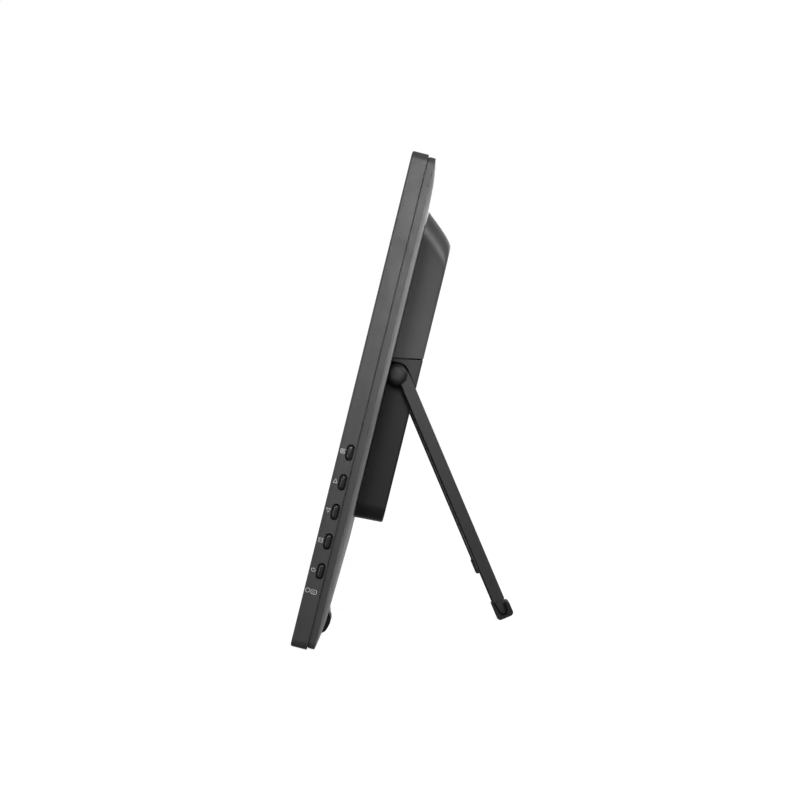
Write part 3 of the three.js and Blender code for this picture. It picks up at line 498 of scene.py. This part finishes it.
shell_finish = moulded(
    "shell_plastic", (0.028, 0.028, 0.0285), (0.035, 0.035, 0.0355), 0.46, edge_wear_and_highlight=0.35
)
# A lighter copy of the shell plastic for the upper housing: painted light that brightens its side
# wall to the tone of the bezel's lit side.
lit_housing_finish = moulded(
    "housing_plastic_painted_light", (0.056, 0.056, 0.0565), (0.068, 0.068, 0.0685), 0.42, edge_wear_and_highlight=0.35
)
# A smoother, darker copy of the moulded plastic: its dark tone is partly the plastic's own and
# partly painted shade.
smooth_shade_finish = moulded(
    "smooth_plastic_painted_shade", (0.015, 0.013, 0.0135), (0.020, 0.0175, 0.018), 0.42, depth=0.006
)
leg_finish = moulded(
    "leg_plastic", (0.017, 0.017, 0.0175), (0.023, 0.023, 0.0235), 0.42, depth=0.014, edge_wear_and_highlight=0.4
)
key_finish = moulded(
    "key_plastic", (0.014, 0.014, 0.0145), (0.019, 0.019, 0.0195), 0.2, depth=0.003, edge_wear_and_highlight=0.3
)
rubber_finish = moulded(
    "foot_rubber", (0.006, 0.006, 0.0062), (0.010, 0.010, 0.0104), 0.7, grain=0.6, depth=0.03
)
print_finish = plain("sign_print", (0.46, 0.46, 0.47), (0.58, 0.58, 0.59), 0.6, 1.5)
glass_finish = screen_glass("display_panel")
steel_finish = metal("bright_steel", (0.50, 0.51, 0.52), (0.66, 0.67, 0.68), 0.32, (1, 1, 14))
screw_finish = metal("blackened_steel", (0.10, 0.10, 0.105), (0.18, 0.18, 0.185), 0.38)
aluminium_finish = metal("plain_aluminium", (0.60, 0.61, 0.62), (0.72, 0.73, 0.74), 0.34, (9, 1, 1))
copper_finish = metal("enamelled_copper", (0.42, 0.17, 0.07), (0.58, 0.26, 0.11), 0.3, (1, 12, 1))
brass_finish = metal("turned_brass", (0.55, 0.39, 0.16), (0.66, 0.49, 0.22), 0.28, (1, 12, 1))
clear_finish = plain(
    "clear_acrylic", (0.80, 0.83, 0.85), (0.88, 0.90, 0.91), 0.12, 20, Transmission_Weight=0.7
)
film_finish = plain("white_film", (0.72, 0.72, 0.70), (0.80, 0.80, 0.78), 0.5, 30)
chip_finish = plain("black_moulding", (0.012, 0.012, 0.012), (0.02, 0.02, 0.02), 0.45, 3)
ribbon_finish = plain("ribbon_cable", (0.60, 0.57, 0.50), (0.70, 0.67, 0.60), 0.45, 2)
board_finish = circuit_board("circuit_board")

# CAD solids that keep their own shape, each with the finish of its slot.
slot_finish = {
    "clear_plastic": clear_finish,
    "film": film_finish,
    "steel": steel_finish,
    "dark_steel": screw_finish,
    "circuit_board": board_finish,
    "chip_plastic": chip_finish,
    "aluminium": aluminium_finish,
    "copper": copper_finish,
    "brass": brass_finish,
    "ribbon": ribbon_finish,
    "shell_plastic": shell_finish,
    "cover_plastic": smooth_shade_finish,
    "key_plastic": key_finish,
    "rubber": rubber_finish,
    "leg_plastic": leg_finish,
    "screen_glass": glass_finish,
}
for part in frame["record"]["subparts"]:
    node = frame["nodes"][part["node"]]
    node.data.materials.clear()
    node.data.materials.append(slot_finish[part["material_slot"]])


# ---------------------------------------------------------------- front bezel
def body_ring(inset, depth, radius=None):
    corner = max(CORNER - inset, 1) if radius is None else radius
    return at_depth(rounded(HALF_WIDTH - inset, inset, HEIGHT - inset, corner), depth)


def opening_ring(outset, depth):
    return at_depth(
        rounded(SCREEN_HALF + outset, SCREEN_LOW - outset, SCREEN_HIGH + outset, 0.8 + outset),
        depth,
    )


edge_arc = arc(BEZEL_EDGE, BEZEL_EDGE, BEZEL_EDGE, -90, -180, 5)
rear_chamfer = 0.2
# How far out the opening's edge is, at each depth: a straight wall, then a bevel to the front.
mouth = [(0, WALL), (0, 1.5), (1.1, 0.15), (1.5, 0)]
bezel = new_object(
    "front_shell",
    loft(
        [
            *[opening_ring(outset, depth) for outset, depth in mouth],
            *[body_ring(inset, depth) for inset, depth in edge_arc],
            body_ring(0, BEZEL_DEPTH - rear_chamfer),
            body_ring(rear_chamfer, BEZEL_DEPTH),
            body_ring(WALL, BEZEL_DEPTH),
            body_ring(WALL, WALL),
        ],
        closed=True,
    ),
)
# Each key slot is straight through the wall and flares at the outside.
flare_depth, flare_past = 0.45, 0.35
slot_steps = [
    (HALF_WIDTH - WALL - 1, 0),
    (HALF_WIDTH - flare_depth, 0),
    (HALF_WIDTH + flare_past, flare_depth + flare_past),
]
slot_cutters = []
for up in KEY_HEIGHTS.values():
    rings = []
    for x, grow in slot_steps:
        outline = stadium(KEY_SLOT[0] + grow, KEY_SLOT[1] + grow, KEY_DEPTH, up)
        rings.append([(x, y, z) for y, z in outline])
    slot_cutters.append(loft(rings))
combine(bezel, merge(*slot_cutters), "DIFFERENCE")
finish_piece(bezel, HEAD, shell_finish, "head", "shell_plastic", ["front_bezel"])

# ---------------------------------------------------------------- display panel
glass_half = SCREEN_HALF + GLASS_OVERLAP
piece(
    "display_glass",
    block(
        -glass_half,
        glass_half,
        GLASS_FRONT,
        GLASS_BACK,
        SCREEN_LOW - GLASS_OVERLAP,
        SCREEN_HIGH + GLASS_OVERLAP,
    ),
    HEAD,
    glass_finish,
    "head",
    "screen_glass",
    ["screen_glass"],
    bevel=0.15,
)


# ---------------------------------------------------------------- rear cover
def cover_ring(inset, depth):
    return body_ring(COVER_INSET + inset, depth, max(CORNER - COVER_INSET, 1) + inset / 3)


lift = BEZEL_DEPTH * math.sin(math.radians(LEAN)) + FOOT_LIFT


def table_at(depth):
    """How high the table is behind the bottom edge, in the display's axes."""
    lean = math.radians(LEAN)
    return (depth * math.sin(lean) - lift) / math.cos(lean)


def crown_at(up):
    """How far back the cover's crowned back is at a height near its bottom edge."""
    left = max(0, 1 - (up - COVER_INSET) / CROWN_RUN)
    return COVER_RIM + (COVER_BACK - COVER_RIM) * (1 - left**2)


FOOT_TOP_SHARE = 0.45


def foot_outline(bulge):
    """A foot in (y, z): a flat sole on the table and a back that follows the cover's crown."""
    margin, sink = 1.2, 0.8
    sole_front, sole_back = COVER_FRONT + margin, COVER_RIM + margin
    shares = [(3, 0.8), (5.5, 0.94), (8.7, 1), (10.7, 0.92), (12.6, 0.7)]
    shares.append((FOOT_TOP, FOOT_TOP_SHARE))
    inner_heights = (FOOT_TOP, 8, 3)
    return [
        (sole_front, table_at(sole_front)),
        (sole_back, table_at(sole_back)),
        *[(crown_at(up) + FOOT_PROUD + bulge * share, up) for up, share in shares],
        *[(crown_at(up) - sink, up) for up in inner_heights],
        (COVER_RIM - sink, COVER_INSET + sink),
        (sole_front, COVER_INSET + sink),
    ]


# The right foot's back bulges out of the cover, and the left one's is almost flush with it.
feet = [("left", -1, 0), ("right", 1, FOOT_BULGE)]
boss_sink = 0.5
boss_slope = [
    (crown_at(FOOT_TOP) - boss_sink, FOOT_TOP),
    (crown_at(FOOT_TOP) + FOOT_TOP_SHARE * FOOT_BULGE, FOOT_TOP),
    (crown_at(FOOT_BOSS_TOP), FOOT_BOSS_TOP),
    (crown_at(FOOT_BOSS_TOP) - boss_sink, FOOT_BOSS_TOP),
]
crown_steps = 14
crown = [
    (CROWN_RUN * (1 - left), COVER_RIM + (COVER_BACK - COVER_RIM) * (1 - left**2))
    for left in [1 - i / crown_steps for i in range(1, crown_steps + 1)]
]
rim_chamfer = 0.1
rim_round = [(rim_chamfer, COVER_RIM), (0, COVER_RIM - rim_chamfer)]
# The seam's groove lies between the bezel's rear edge and the cover's front edge.
groove = 0.45
front_chamfer = 0.2
joint_depth = BEZEL_DEPTH + 0.05
cover_wall = 2.5
cover = new_object(
    "back_cover",
    loft(
        [cover_ring(inset, depth) for inset, depth in reversed(crown)]
        + [cover_ring(inset, depth) for inset, depth in rim_round]
        + [
            cover_ring(0, COVER_FRONT + front_chamfer),
            cover_ring(front_chamfer, COVER_FRONT),
            cover_ring(groove, COVER_FRONT),
            cover_ring(groove, joint_depth),
            cover_ring(cover_wall, joint_depth),
            cover_ring(cover_wall, COVER_RIM - 1.5),
            cover_ring(20, COVER_BACK - 2),
        ]
    ),
)
combine(cover, prism_x(boss_slope, FOOT_NEAR, FOOT_FAR), "UNION")
sweep = KNUCKLE + KNUCKLE_ROOM
combine(
    cover,
    both(
        block(
            LEG_INNER - 5,
            LEG_OUTER + KNUCKLE_DOME + 4,
            HINGE_Y - sweep - 2,
            COVER_BACK - 1.5,
            HINGE_Z - sweep,
            HINGE_Z + sweep,
        )
    ),
    "UNION",
)
foot_gap = 0.3
knuckle_rooms = both(
    bar_x(sweep, NARROW_HALF, LEG_OUTER + KNUCKLE_DOME + KNUCKLE_ROOM, HINGE_Y, HINGE_Z)
)
foot_pockets = []
for _, sign, bulge in feet:
    pocket = grown(foot_outline(bulge), foot_gap)
    pocket = prism_x(pocket, FOOT_NEAR - foot_gap, FOOT_FAR + foot_gap)
    foot_pockets.append(mirrored(pocket, sign))
opening = block(-OPENING_HALF, OPENING_HALF, 8, COVER_BACK + 1, OPENING_LOW, OPENING_HIGH)
combine(cover, merge(knuckle_rooms, *foot_pockets, opening), "DIFFERENCE")
finish_piece(cover, HEAD, shell_finish, "head", "shell_plastic", ["rear_cover"], sharp=28)

for side, sign, bulge in feet:
    piece(
        "table_foot_" + side,
        mirrored(prism_x(foot_outline(bulge), FOOT_NEAR, FOOT_FAR), sign),
        HEAD,
        rubber_finish,
        "head",
        "rubber",
        ["base_foot_" + side],
        bevel=0.7,
        sharp=24,
    )


# ---------------------------------------------------------------- housings on the back
BEYOND = 400


def top_slope(t):
    """How far back, and how far below the top, the domed top is at a share of its curve."""
    depth = 2 * t * (1 - t) * HOUSING_DEPTH + t * t * HOUSING_DEPTH
    return depth, 2 * t * (1 - t) * TOP_CROWN + t * t * TOP_DROP


def housing_form(half, inset, start):
    """A housing's outside, or its inside when it is inset."""
    steps, crowding = 18, 1.6
    reach = HOUSING_DEPTH - inset
    rings = []
    for i in range(steps + 1):
        t = i / steps
        depth, drop = top_slope(1 - (1 - t) ** crowding)
        past = min(max(0, depth - (HOUSING_DEPTH - HOUSING_EDGE)), HOUSING_EDGE)
        edge = HOUSING_EDGE - math.sqrt(HOUSING_EDGE**2 - past**2)
        share = depth / HOUSING_DEPTH
        side = inset + edge
        outline = rounded(
            half - side - HOUSING_DRAFT * share,
            HOUSING_LOW + side + HOUSING_BOTTOM_DRAFT * share,
            HOUSING_HIGH - drop - inset,
            max(LOW_CORNER - inset, 1),
            max(TOP_CORNER - inset, 1),
            steps=14,
        )
        y = COVER_BACK + share * reach if i else start
        rings.append(at_depth(outline, y))
    return loft(rings)


def beyond_seam(offset, far):
    """Everything on one side of the slanted seam between the housings."""
    past = 10
    near, away = COVER_BACK - past, HOUSING_BACK + past
    at = [SEAM + (y - COVER_BACK) * SEAM_SLOPE + offset for y in (near, away)]
    return prism_x([(near, at[0]), (away, at[1]), (away, far), (near, far)], -BEYOND, BEYOND)


def screw_bosses(places):
    radius, start = 4.6, HOUSING_START + 0.5
    return merge(
        *[both(bar_y(radius, start, HOUSING_BACK - HOUSING_WALL, x, z)) for x, z in places]
    )


def screw_wells(places):
    """Round wells in the housing's back, each with a countersink at its mouth."""
    floor_depth, radius = 24, 3.4
    sink_depth, sink_past = 0.5, 0.3
    steps = [
        (floor_depth, radius),
        (HOUSING_BACK - sink_depth, radius),
        (HOUSING_BACK + sink_past, radius + sink_depth + sink_past),
    ]
    sides = 32
    wells = []
    for x, z in places:
        rings = [at_depth(arc(x, z, r, 0, 360 - 360 / sides, sides - 1), y) for y, r in steps]
        wells.append(both(loft(rings)))
    return merge(*wells)


upper = new_object("upper_back_housing", housing_form(HOUSING_HALF, 0, HOUSING_START))
combine(upper, beyond_seam(SEAM_GAP / 2, 500), "INTERSECT")
combine(upper, housing_form(HOUSING_HALF, HOUSING_WALL, HOUSING_START - 1), "DIFFERENCE")
combine(upper, screw_bosses(SCREWS[:1]), "UNION")
vent_count, vent_pitch, vent_half = 15, 11, 1.6
vent_front, vent_back = HOUSING_START + 5, HOUSING_BACK - 6
vent_low, vent_high = HOUSING_HIGH - 30, HOUSING_HIGH + 5
vents = []
for i in range(vent_count):
    x = (i - vent_count // 2) * vent_pitch
    vents.append(block(x - vent_half, x + vent_half, vent_front, vent_back, vent_low, vent_high))
combine(upper, merge(*vents, screw_wells(SCREWS[:1])), "DIFFERENCE")
# The upper housing takes the lighter copy of the shell plastic, as painted light.
finish_piece(upper, HEAD, lit_housing_finish, "head", "shell_plastic", ["upper_housing"])


def leg_room():
    """The space that a leg sweeps beside the narrow housing, down to its stop face."""
    quarter = math.pi / 2
    steps, run = 12, 60
    room, reach = KNUCKLE + KNUCKLE_ROOM, LEG_REAR + STOP_GAP
    front = COVER_BACK - 5
    points = []
    for i in range(steps + 1):
        share = i / steps
        angle = quarter + (OPEN_ANGLE - quarter) * share
        radius = room * (1 - share) + reach * share
        points.append(
            (HINGE_Y + radius * math.cos(angle), HINGE_Z + radius * math.sin(angle))
        )
    end = (
        HINGE_Y + reach * math.cos(OPEN_ANGLE) + run * math.sin(OPEN_ANGLE),
        HINGE_Z + reach * math.sin(OPEN_ANGLE) - run * math.cos(OPEN_ANGLE),
    )
    return [(front, HINGE_Z + room), *points, end, (end[0], 0), (front, 0)]


lower = new_object("lower_back_housing", housing_form(HOUSING_HALF, 0, HOUSING_START))
# The wide shoulders end a little below the hinge; from there down only the narrow part is left.
combine(lower, block(-BEYOND, BEYOND, 0, 60, HINGE_Z - 20, BEYOND), "INTERSECT")
combine(lower, both(prism_x(leg_room(), NARROW_HALF - HOUSING_DRAFT, 300)), "DIFFERENCE")
combine(lower, housing_form(NARROW_HALF, 0, HOUSING_START), "UNION")
combine(lower, beyond_seam(-SEAM_GAP / 2, -200), "INTERSECT")
combine(lower, housing_form(NARROW_HALF, HOUSING_WALL, HOUSING_START - 1), "DIFFERENCE")
combine(
    lower,
    merge(
        block(-62, 62, HOUSING_START, HOUSING_BACK - 1, HOUSING_LOW + 4, BAY_TOP + BAY_WALL),
        screw_bosses(SCREWS[1:]),
    ),
    "UNION",
)
# Each socket's place across, width and height.
sockets = [(-46, 9, 9), (-20, 15.4, 6.4), (8, 14.6, 7.4), (38, 28, 4)]
window_gap = 0.3
window_low, window_high = BAY_TOP - 1, BAY_TOP + BAY_WALL + 1
sockets_front = 23.9
socket_windows = []
for x, w, h in sockets:
    half = w / 2 + window_gap
    front, back = sockets_front - window_gap, sockets_front + h + window_gap
    socket_windows.append(block(x - half, x + half, front, back, window_low, window_high))
slit_count, slit_pitch = 6, 6
slit_width, slit_length = 2.4, 18
grilles = []
for i in range(slit_count):
    up = SPEAKER_Z + (i - (slit_count - 1) / 2) * slit_pitch
    ring = [(SPEAKER_X + z, x + up) for x, z in stadium(slit_width, slit_length, 0, 0)]
    grilles.append(both(loft([at_depth(ring, y) for y in (HOUSING_BACK - 4, HOUSING_BACK + 1)])))
bay = block(-BAY_HALF, BAY_HALF, HOUSING_START - 1, HOUSING_BACK - HOUSING_WALL, 60, BAY_TOP)
combine(lower, bay, "DIFFERENCE")
combine(lower, merge(*socket_windows, *grilles, screw_wells(SCREWS[1:])), "DIFFERENCE")
finish_piece(lower, HEAD, shell_finish, "head", "cover_plastic", ["lower_housing"])
# The walls beside the legs and the underside get the smoother, darker plastic; its dark tone is
# partly the plastic's own and partly painted shade for these recessed and downward-facing parts.
# The rest is textured.
lower.data.materials.append(smooth_shade_finish)
to_head = HEAD.inverted()
wall_reach, wall_past = 3.6, 0.2
shaded_high = HINGE_Z + 8
shaded_low = HOUSING_LOW + 8
for face in lower.data.polygons:
    centre = to_head @ face.center
    out = abs(centre.x)
    on_wall = NARROW_HALF - wall_reach < out < NARROW_HALF + wall_past
    underneath = out < NARROW_HALF + wall_past and centre.z < shaded_low
    if (on_wall or underneath) and centre.z < shaded_high:
        face.material_index = 1

# ---------------------------------------------------------------- stand
for side, sign in (("left", -1), ("right", 1)):
    # The leg tapers into its boot. Its outer back edge has a chamfer that widens downwards.
    # Each station is a height, the front and back faces, the chamfer and the sides' tuck.
    tip_top = -(LEG_REACH - TIP_LENGTH)
    tip_end = -(LEG_REACH - SOLE)
    stations = [
        (0, LEG_FRONT, KNUCKLE, 0.5, 0),
        (-8, LEG_FRONT, LEG_REAR, 0.7, 0),
        (-60, LEG_FRONT, LEG_REAR, 1.4, 0),
        (-120, LEG_FRONT, LEG_REAR, 2.2, 0),
        (tip_top, LEG_FRONT, LEG_REAR, 2.8, 0),
        (tip_top, LEG_FRONT + 0.9, LEG_REAR - 0.4, 2.6, 0.3),
        ((tip_top + tip_end) / 2, LEG_FRONT + 1.5, LEG_REAR - 0.7, 2.3, 0.3),
        (tip_end + 2.6, LEG_FRONT + 2.0, LEG_REAR - 1.1, 2.0, 0.4),
        (tip_end + 0.8, LEG_FRONT + 2.6, LEG_REAR - 2.0, 1.4, 0.8),
        (tip_end, LEG_FRONT + 3.4, LEG_REAR - 3.2, 0.8, 1.6),
    ]
    soft, outer_soft, chamfer_slope = 0.9, 1.08, 0.8
    rings = []
    for z, front, rear, chamfer, tuck in stations:
        near, far = LEG_INNER + tuck, LEG_OUTER - tuck
        rings.append(
            [
                (near, front + soft, z),
                (near + soft, front, z),
                (far - outer_soft, front, z),
                (far, front + outer_soft, z),
                (far, rear - chamfer, z),
                (far - chamfer * chamfer_slope, rear, z),
                (near + soft, rear, z),
                (near, rear - soft, z),
            ]
        )
    piece(
        "leg_" + side,
        mirrored(loft(rings), sign),
        STAND,
        leg_finish,
        "stand",
        "leg_plastic",
        ["stand_leg_" + side],
        bevel=0.25,
        sharp=12,
    )
    # The knuckle, as (radius, x): a flat inner end, a rounded edge and a low outer dome.
    centre_hole = 0.02
    dome = [(centre_hole, NARROW_HALF + 0.6), (KNUCKLE - 0.8, NARROW_HALF + 0.6)]
    dome += [(KNUCKLE - 0.25, NARROW_HALF + 0.85), (KNUCKLE, NARROW_HALF + 1.4)]
    start = LEG_OUTER - 1.2
    height = LEG_OUTER + KNUCKLE_DOME - start
    dome_steps = 14
    for i in range(dome_steps + 1):
        angle = math.radians(90 * i / dome_steps)
        radius = KNUCKLE * math.cos(angle) ** KNUCKLE_ROUND
        dome.append((max(centre_hole, radius), start + height * math.sin(angle)))
    piece(
        "knuckle_" + side,
        mirrored(turned_x(dome, 0, 0), sign),
        STAND,
        leg_finish,
        "stand",
        "leg_plastic",
    )
    # The boot grips the tip between a tall front lip and a shorter back lip.
    low = -LEG_REACH
    lip_soft = 0.7
    shoulder, shoulder_up, back_lip_up = 1.9, 8.2, 10.2
    boot_outline = (
        [(LEG_FRONT + 2, tip_top)]
        + [(BOOT_FRONT + lip_soft, tip_top), (BOOT_FRONT, tip_top - lip_soft)]
        + arc(BOOT_FRONT + BOOT_CORNER, low + BOOT_CORNER, BOOT_CORNER, 180, 270, 8)
        + arc(BOOT_REAR - BOOT_CORNER, low + BOOT_CORNER, BOOT_CORNER, 270, 360, 8)
        + arc(BOOT_REAR - shoulder, low + shoulder_up, shoulder, 0, 75, 6)
        + [(LEG_REAR - 0.4, low + back_lip_up), (LEG_REAR - 2, low + back_lip_up)]
    )
    boot = new_object("boot", prism_x(boot_outline, LEG_INNER - BOOT_SIDE, LEG_OUTER + BOOT_SIDE))
    tip = [
        (LEG_FRONT + 0.9, tip_top + 3),
        (LEG_FRONT + 0.9, tip_top),
        (LEG_FRONT + 2.0, tip_end + 2.6),
        (LEG_FRONT + 2.9, tip_end + 0.6),
        (LEG_FRONT + 3.6, tip_end),
        (LEG_REAR - 3.4, tip_end),
        (LEG_REAR - 2.2, tip_end + 0.7),
        (LEG_REAR - 1, tip_end + 2.6),
        (LEG_REAR - 0.4, tip_top),
        (LEG_REAR - 0.4, tip_top + 3),
    ]
    grip_gap = 0.15
    combine(boot, prism_x(grown(tip, grip_gap), LEG_INNER - 2, LEG_OUTER + 2), "DIFFERENCE")
    boot.name = "boot_" + side
    if sign < 0:
        boot.data.transform(Matrix.Scale(-1, 4, (1, 0, 0)))
        boot.data.flip_normals()
    finish_piece(
        boot,
        STAND,
        rubber_finish,
        "stand",
        "rubber",
        ["stand_foot_" + side],
        bevel=0.45,
        sharp=30,
    )

# ---------------------------------------------------------------- keys
wall_inside = HALF_WIDTH - WALL
key_foot = wall_inside - 4.4
flange_top = wall_inside - 2.4
flange = 1.1
key_top = HALF_WIDTH + 0.8
rise, rise_steps, rise_shrink = 1.5, 6, 0.75
width, length = KEY_CAP
for name, up in KEY_HEIGHTS.items():
    rings = []
    for x, grow in [(key_foot, flange), (flange_top, flange), (flange_top, 0)]:
        rings.append((x, width + 2 * grow, length + 2 * grow))
    for i in range(rise_steps + 1):
        angle = math.radians(90 * i / rise_steps)
        shrink = rise * rise_shrink * (1 - math.cos(angle))
        x = key_top - rise + rise * math.sin(angle)
        rings.append((x, width - 2 * shrink, length - 2 * shrink))
    shape = loft([[(x, y, z) for y, z in stadium(w, n, KEY_DEPTH, up)] for x, w, n in rings])
    piece(
        "key_cap_" + name,
        shape,
        HEAD,
        key_finish,
        name + "_key",
        "key_plastic",
        ["key_" + name],
    )


# ---------------------------------------------------------------- printed signs
PRINT_THICKNESS = 0.03


def stroke(points, width, closed=False):
    """A printed line of even width through (across, up) points, on the right edge."""
    count = len(points)
    left, right = [], []
    for i, point in enumerate(points):
        here = Vector(point)
        ahead = Vector(points[(i + 1) % count]) if closed or i < count - 1 else None
        behind = Vector(points[i - 1]) if closed or i > 0 else None
        ways = []
        if ahead is not None:
            ways.append((ahead - here).normalized())
        if behind is not None:
            ways.append((here - behind).normalized())
        normals = [Vector((-way.y, way.x)) for way in ways]
        middle = sum(normals, Vector((0, 0))) / len(normals)
        offset = middle * (width / 2) / max(0.25, middle.length_squared)
        left.append(here + offset)
        right.append(here - offset)
    rings = []
    for a, b in zip(left, right):
        low_x, high_x = HALF_WIDTH - 0.01, HALF_WIDTH + PRINT_THICKNESS
        rings.append([(low_x, *a), (high_x, *a), (high_x, *b), (low_x, *b)])
    return loft(rings, closed=closed)


def ring_points(across, up, half_width, half_height, radius):
    outline = rounded(half_width, -half_height, half_height, radius, steps=5)
    return [(across + x, up + z) for x, z in outline]


LINE = 0.34
THIN_LINE = 0.3
SIGN = 1.2
SIGN_DEPTH = 2.6
SIGN_CORNER = 0.25
SIGN_DROP = 0.1
signs = {
    "menu": lambda up: merge(
        stroke(ring_points(SIGN_DEPTH, up, SIGN, SIGN, SIGN_CORNER), LINE, True),
        *[
            stroke([(SIGN_DEPTH - 0.65, up + z), (SIGN_DEPTH + 0.65, up + z)], THIN_LINE)
            for z in (-0.5, 0.0, 0.5)
        ],
    ),
    "up": lambda up: stroke(
        [(SIGN_DEPTH - SIGN, up - SIGN), (SIGN_DEPTH + SIGN, up - SIGN), (SIGN_DEPTH, up + SIGN)],
        LINE,
        True,
    ),
    "down": lambda up: stroke(
        [(SIGN_DEPTH - SIGN, up + SIGN), (SIGN_DEPTH, up - SIGN), (SIGN_DEPTH + SIGN, up + SIGN)],
        LINE,
        True,
    ),
    "source": lambda up: merge(
        stroke(ring_points(SIGN_DEPTH, up, SIGN, SIGN, SIGN_CORNER), LINE, True),
        stroke([(SIGN_DEPTH - 0.15, up), (SIGN_DEPTH + SIGN, up)], THIN_LINE),
        stroke(
            [(SIGN_DEPTH - 0.75, up - 0.5), (SIGN_DEPTH - 0.25, up), (SIGN_DEPTH - 0.75, up + 0.5)],
            THIN_LINE,
        ),
    ),
    "power": lambda up: merge(
        stroke(arc(SIGN_DEPTH, up, 1.15, 125, 415, 20), LINE),
        stroke([(SIGN_DEPTH, up + 0.25), (SIGN_DEPTH, up + 1.5)], LINE),
    ),
}
for name, up in KEY_HEIGHTS.items():
    piece("sign_" + name, signs[name](up - SIGN_DROP), HEAD, print_finish, "head", "key_plastic")
# A wide sign below the keys: a ring beside a pill with a bar in it.
wide_up = 36
wide_sign = merge(
    stroke(ring_points(2.2, wide_up, 1.25, 1.25, 1.2), LINE, True),
    stroke(ring_points(6.0, wide_up - 0.3, 1.7, 1.15, 0.5), LINE, True),
    stroke([(5.1, wide_up - 0.3), (6.9, wide_up - 0.3)], THIN_LINE),
)
piece("sign_wide", wide_sign, HEAD, print_finish, "head", "key_plastic")

# ---------------------------------------------------------------- floor, lights and camera
floor_half, floor_drop = 30, 0.0002
floor_mesh = bpy.data.meshes.new("floor")
corners = [(-1, -1), (1, -1), (1, 1), (-1, 1)]
floor_points = [(x * floor_half, y * floor_half, -floor_drop) for x, y in corners]
floor_mesh.from_pydata(floor_points, [], [(0, 1, 2, 3)])
floor = bpy.data.objects.new("floor", floor_mesh)
bpy.context.scene.collection.objects.link(floor)
floor_look = Look("pale_floor", Roughness=0.9)
floor_look.colour(
    floor_look.mix(floor_look.noise(400, detail=2), (0.24, 0.24, 0.24), (0.26, 0.26, 0.26))
)
floor_look.shader.inputs["Specular IOR Level"].default_value = 0
floor_look.shader.inputs["Emission Color"].default_value = (1, 1, 1, 1)
floor_look.shader.inputs["Emission Strength"].default_value = 0.93
floor.data.materials.append(floor_look.material)
floor.visible_glossy = False
floor.visible_diffuse = False
floor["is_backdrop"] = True

world = bpy.data.worlds.new("studio")
bpy.context.scene.world = world
world.use_nodes = True
tree = world.node_tree
background = tree.nodes["Background"]
rays = tree.nodes.new("ShaderNodeLightPath")
# The room is darker below the table's height and brighter towards the white backdrop behind the
# object, which looks white to the camera.
direction = tree.nodes.new("ShaderNodeSeparateXYZ")
tree.links.new(tree.nodes.new("ShaderNodeTexCoord").outputs["Generated"], direction.inputs[0])


def glow(axis, start, end, first, last):
    """Ambient strength that goes from first to last along one axis of the room."""
    made = tree.nodes.new("ShaderNodeMapRange")
    made.inputs["From Min"].default_value = start
    made.inputs["From Max"].default_value = end
    made.inputs["To Min"].default_value = first
    made.inputs["To Max"].default_value = last
    tree.links.new(direction.outputs[axis], made.inputs["Value"])
    return made.outputs["Result"]


ambience = tree.nodes.new("ShaderNodeMath")
ambience.operation = "ADD"
tree.links.new(glow("Z", -0.4, 0.3, 0.13, 0.26), ambience.inputs[0])
tree.links.new(glow("X", -0.95, -0.6, 0.90, 0.0), ambience.inputs[1])
strength = tree.nodes.new("ShaderNodeMapRange")
tree.links.new(ambience.outputs[0], strength.inputs["To Min"])
strength.inputs["To Max"].default_value = 1.0
tree.links.new(rays.outputs["Is Camera Ray"], strength.inputs["Value"])
tree.links.new(strength.outputs["Result"], background.inputs["Strength"])
background.inputs["Color"].default_value = (1, 1, 1, 1)

object_middle = Vector((0, 0, 0.15))


def softbox(name, place, width, height, power, aim=object_middle):
    data = bpy.data.lights.new(name, "AREA")
    data.shape = "RECTANGLE"
    data.size = width
    data.size_y = height
    data.energy = power
    lamp = bpy.data.objects.new(name, data)
    lamp.location = place
    lamp.rotation_mode = "QUATERNION"
    lamp.rotation_quaternion = (aim - Vector(place)).to_track_quat("-Z", "Y")
    bpy.context.scene.collection.objects.link(lamp)


softbox("key_softbox", (1.45, 0.0, 0.60), 0.15, 0.60, 9.4, Vector((0.25, 0.02, 0.22)))
softbox("backdrop_softbox", (-1.4, 0.75, 0.36), 1.2, 0.65, 2)
softbox("front_softbox", (1.0, -1.5, 0.6), 0.35, 1.2, 9)
softbox("back_softbox", (0.75, 1.4, 1.15), 0.5, 0.5, 10)
softbox("top_softbox", (0, 0.2, 1.9), 1.2, 1.2, 1)

# The camera faces the keyed edge at the height of the object's middle.
camera_data = bpy.data.cameras.new("camera")
camera_data.lens = 65.14
camera = bpy.data.objects.new("camera", camera_data)
bpy.context.scene.collection.objects.link(camera)
bpy.context.scene.camera = camera
camera.location = (1.12344, -0.01156, 0.15517)
yaw, pitch, roll = (math.radians(a) for a in (0.343, -0.273, 0.096))
forward = Vector(
    (-math.cos(pitch) * math.cos(yaw), math.cos(pitch) * math.sin(yaw), math.sin(pitch))
)
across = forward.cross(Vector((0, 0, 1))).normalized()
upward = across.cross(forward)
turn = Matrix((across, upward, -forward)).transposed() @ Matrix.Rotation(roll, 3, "Z")
camera.rotation_mode = "QUATERNION"
camera.rotation_quaternion = turn.to_quaternion()
bpy.context.scene.view_settings.view_transform = "Standard"

low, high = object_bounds()
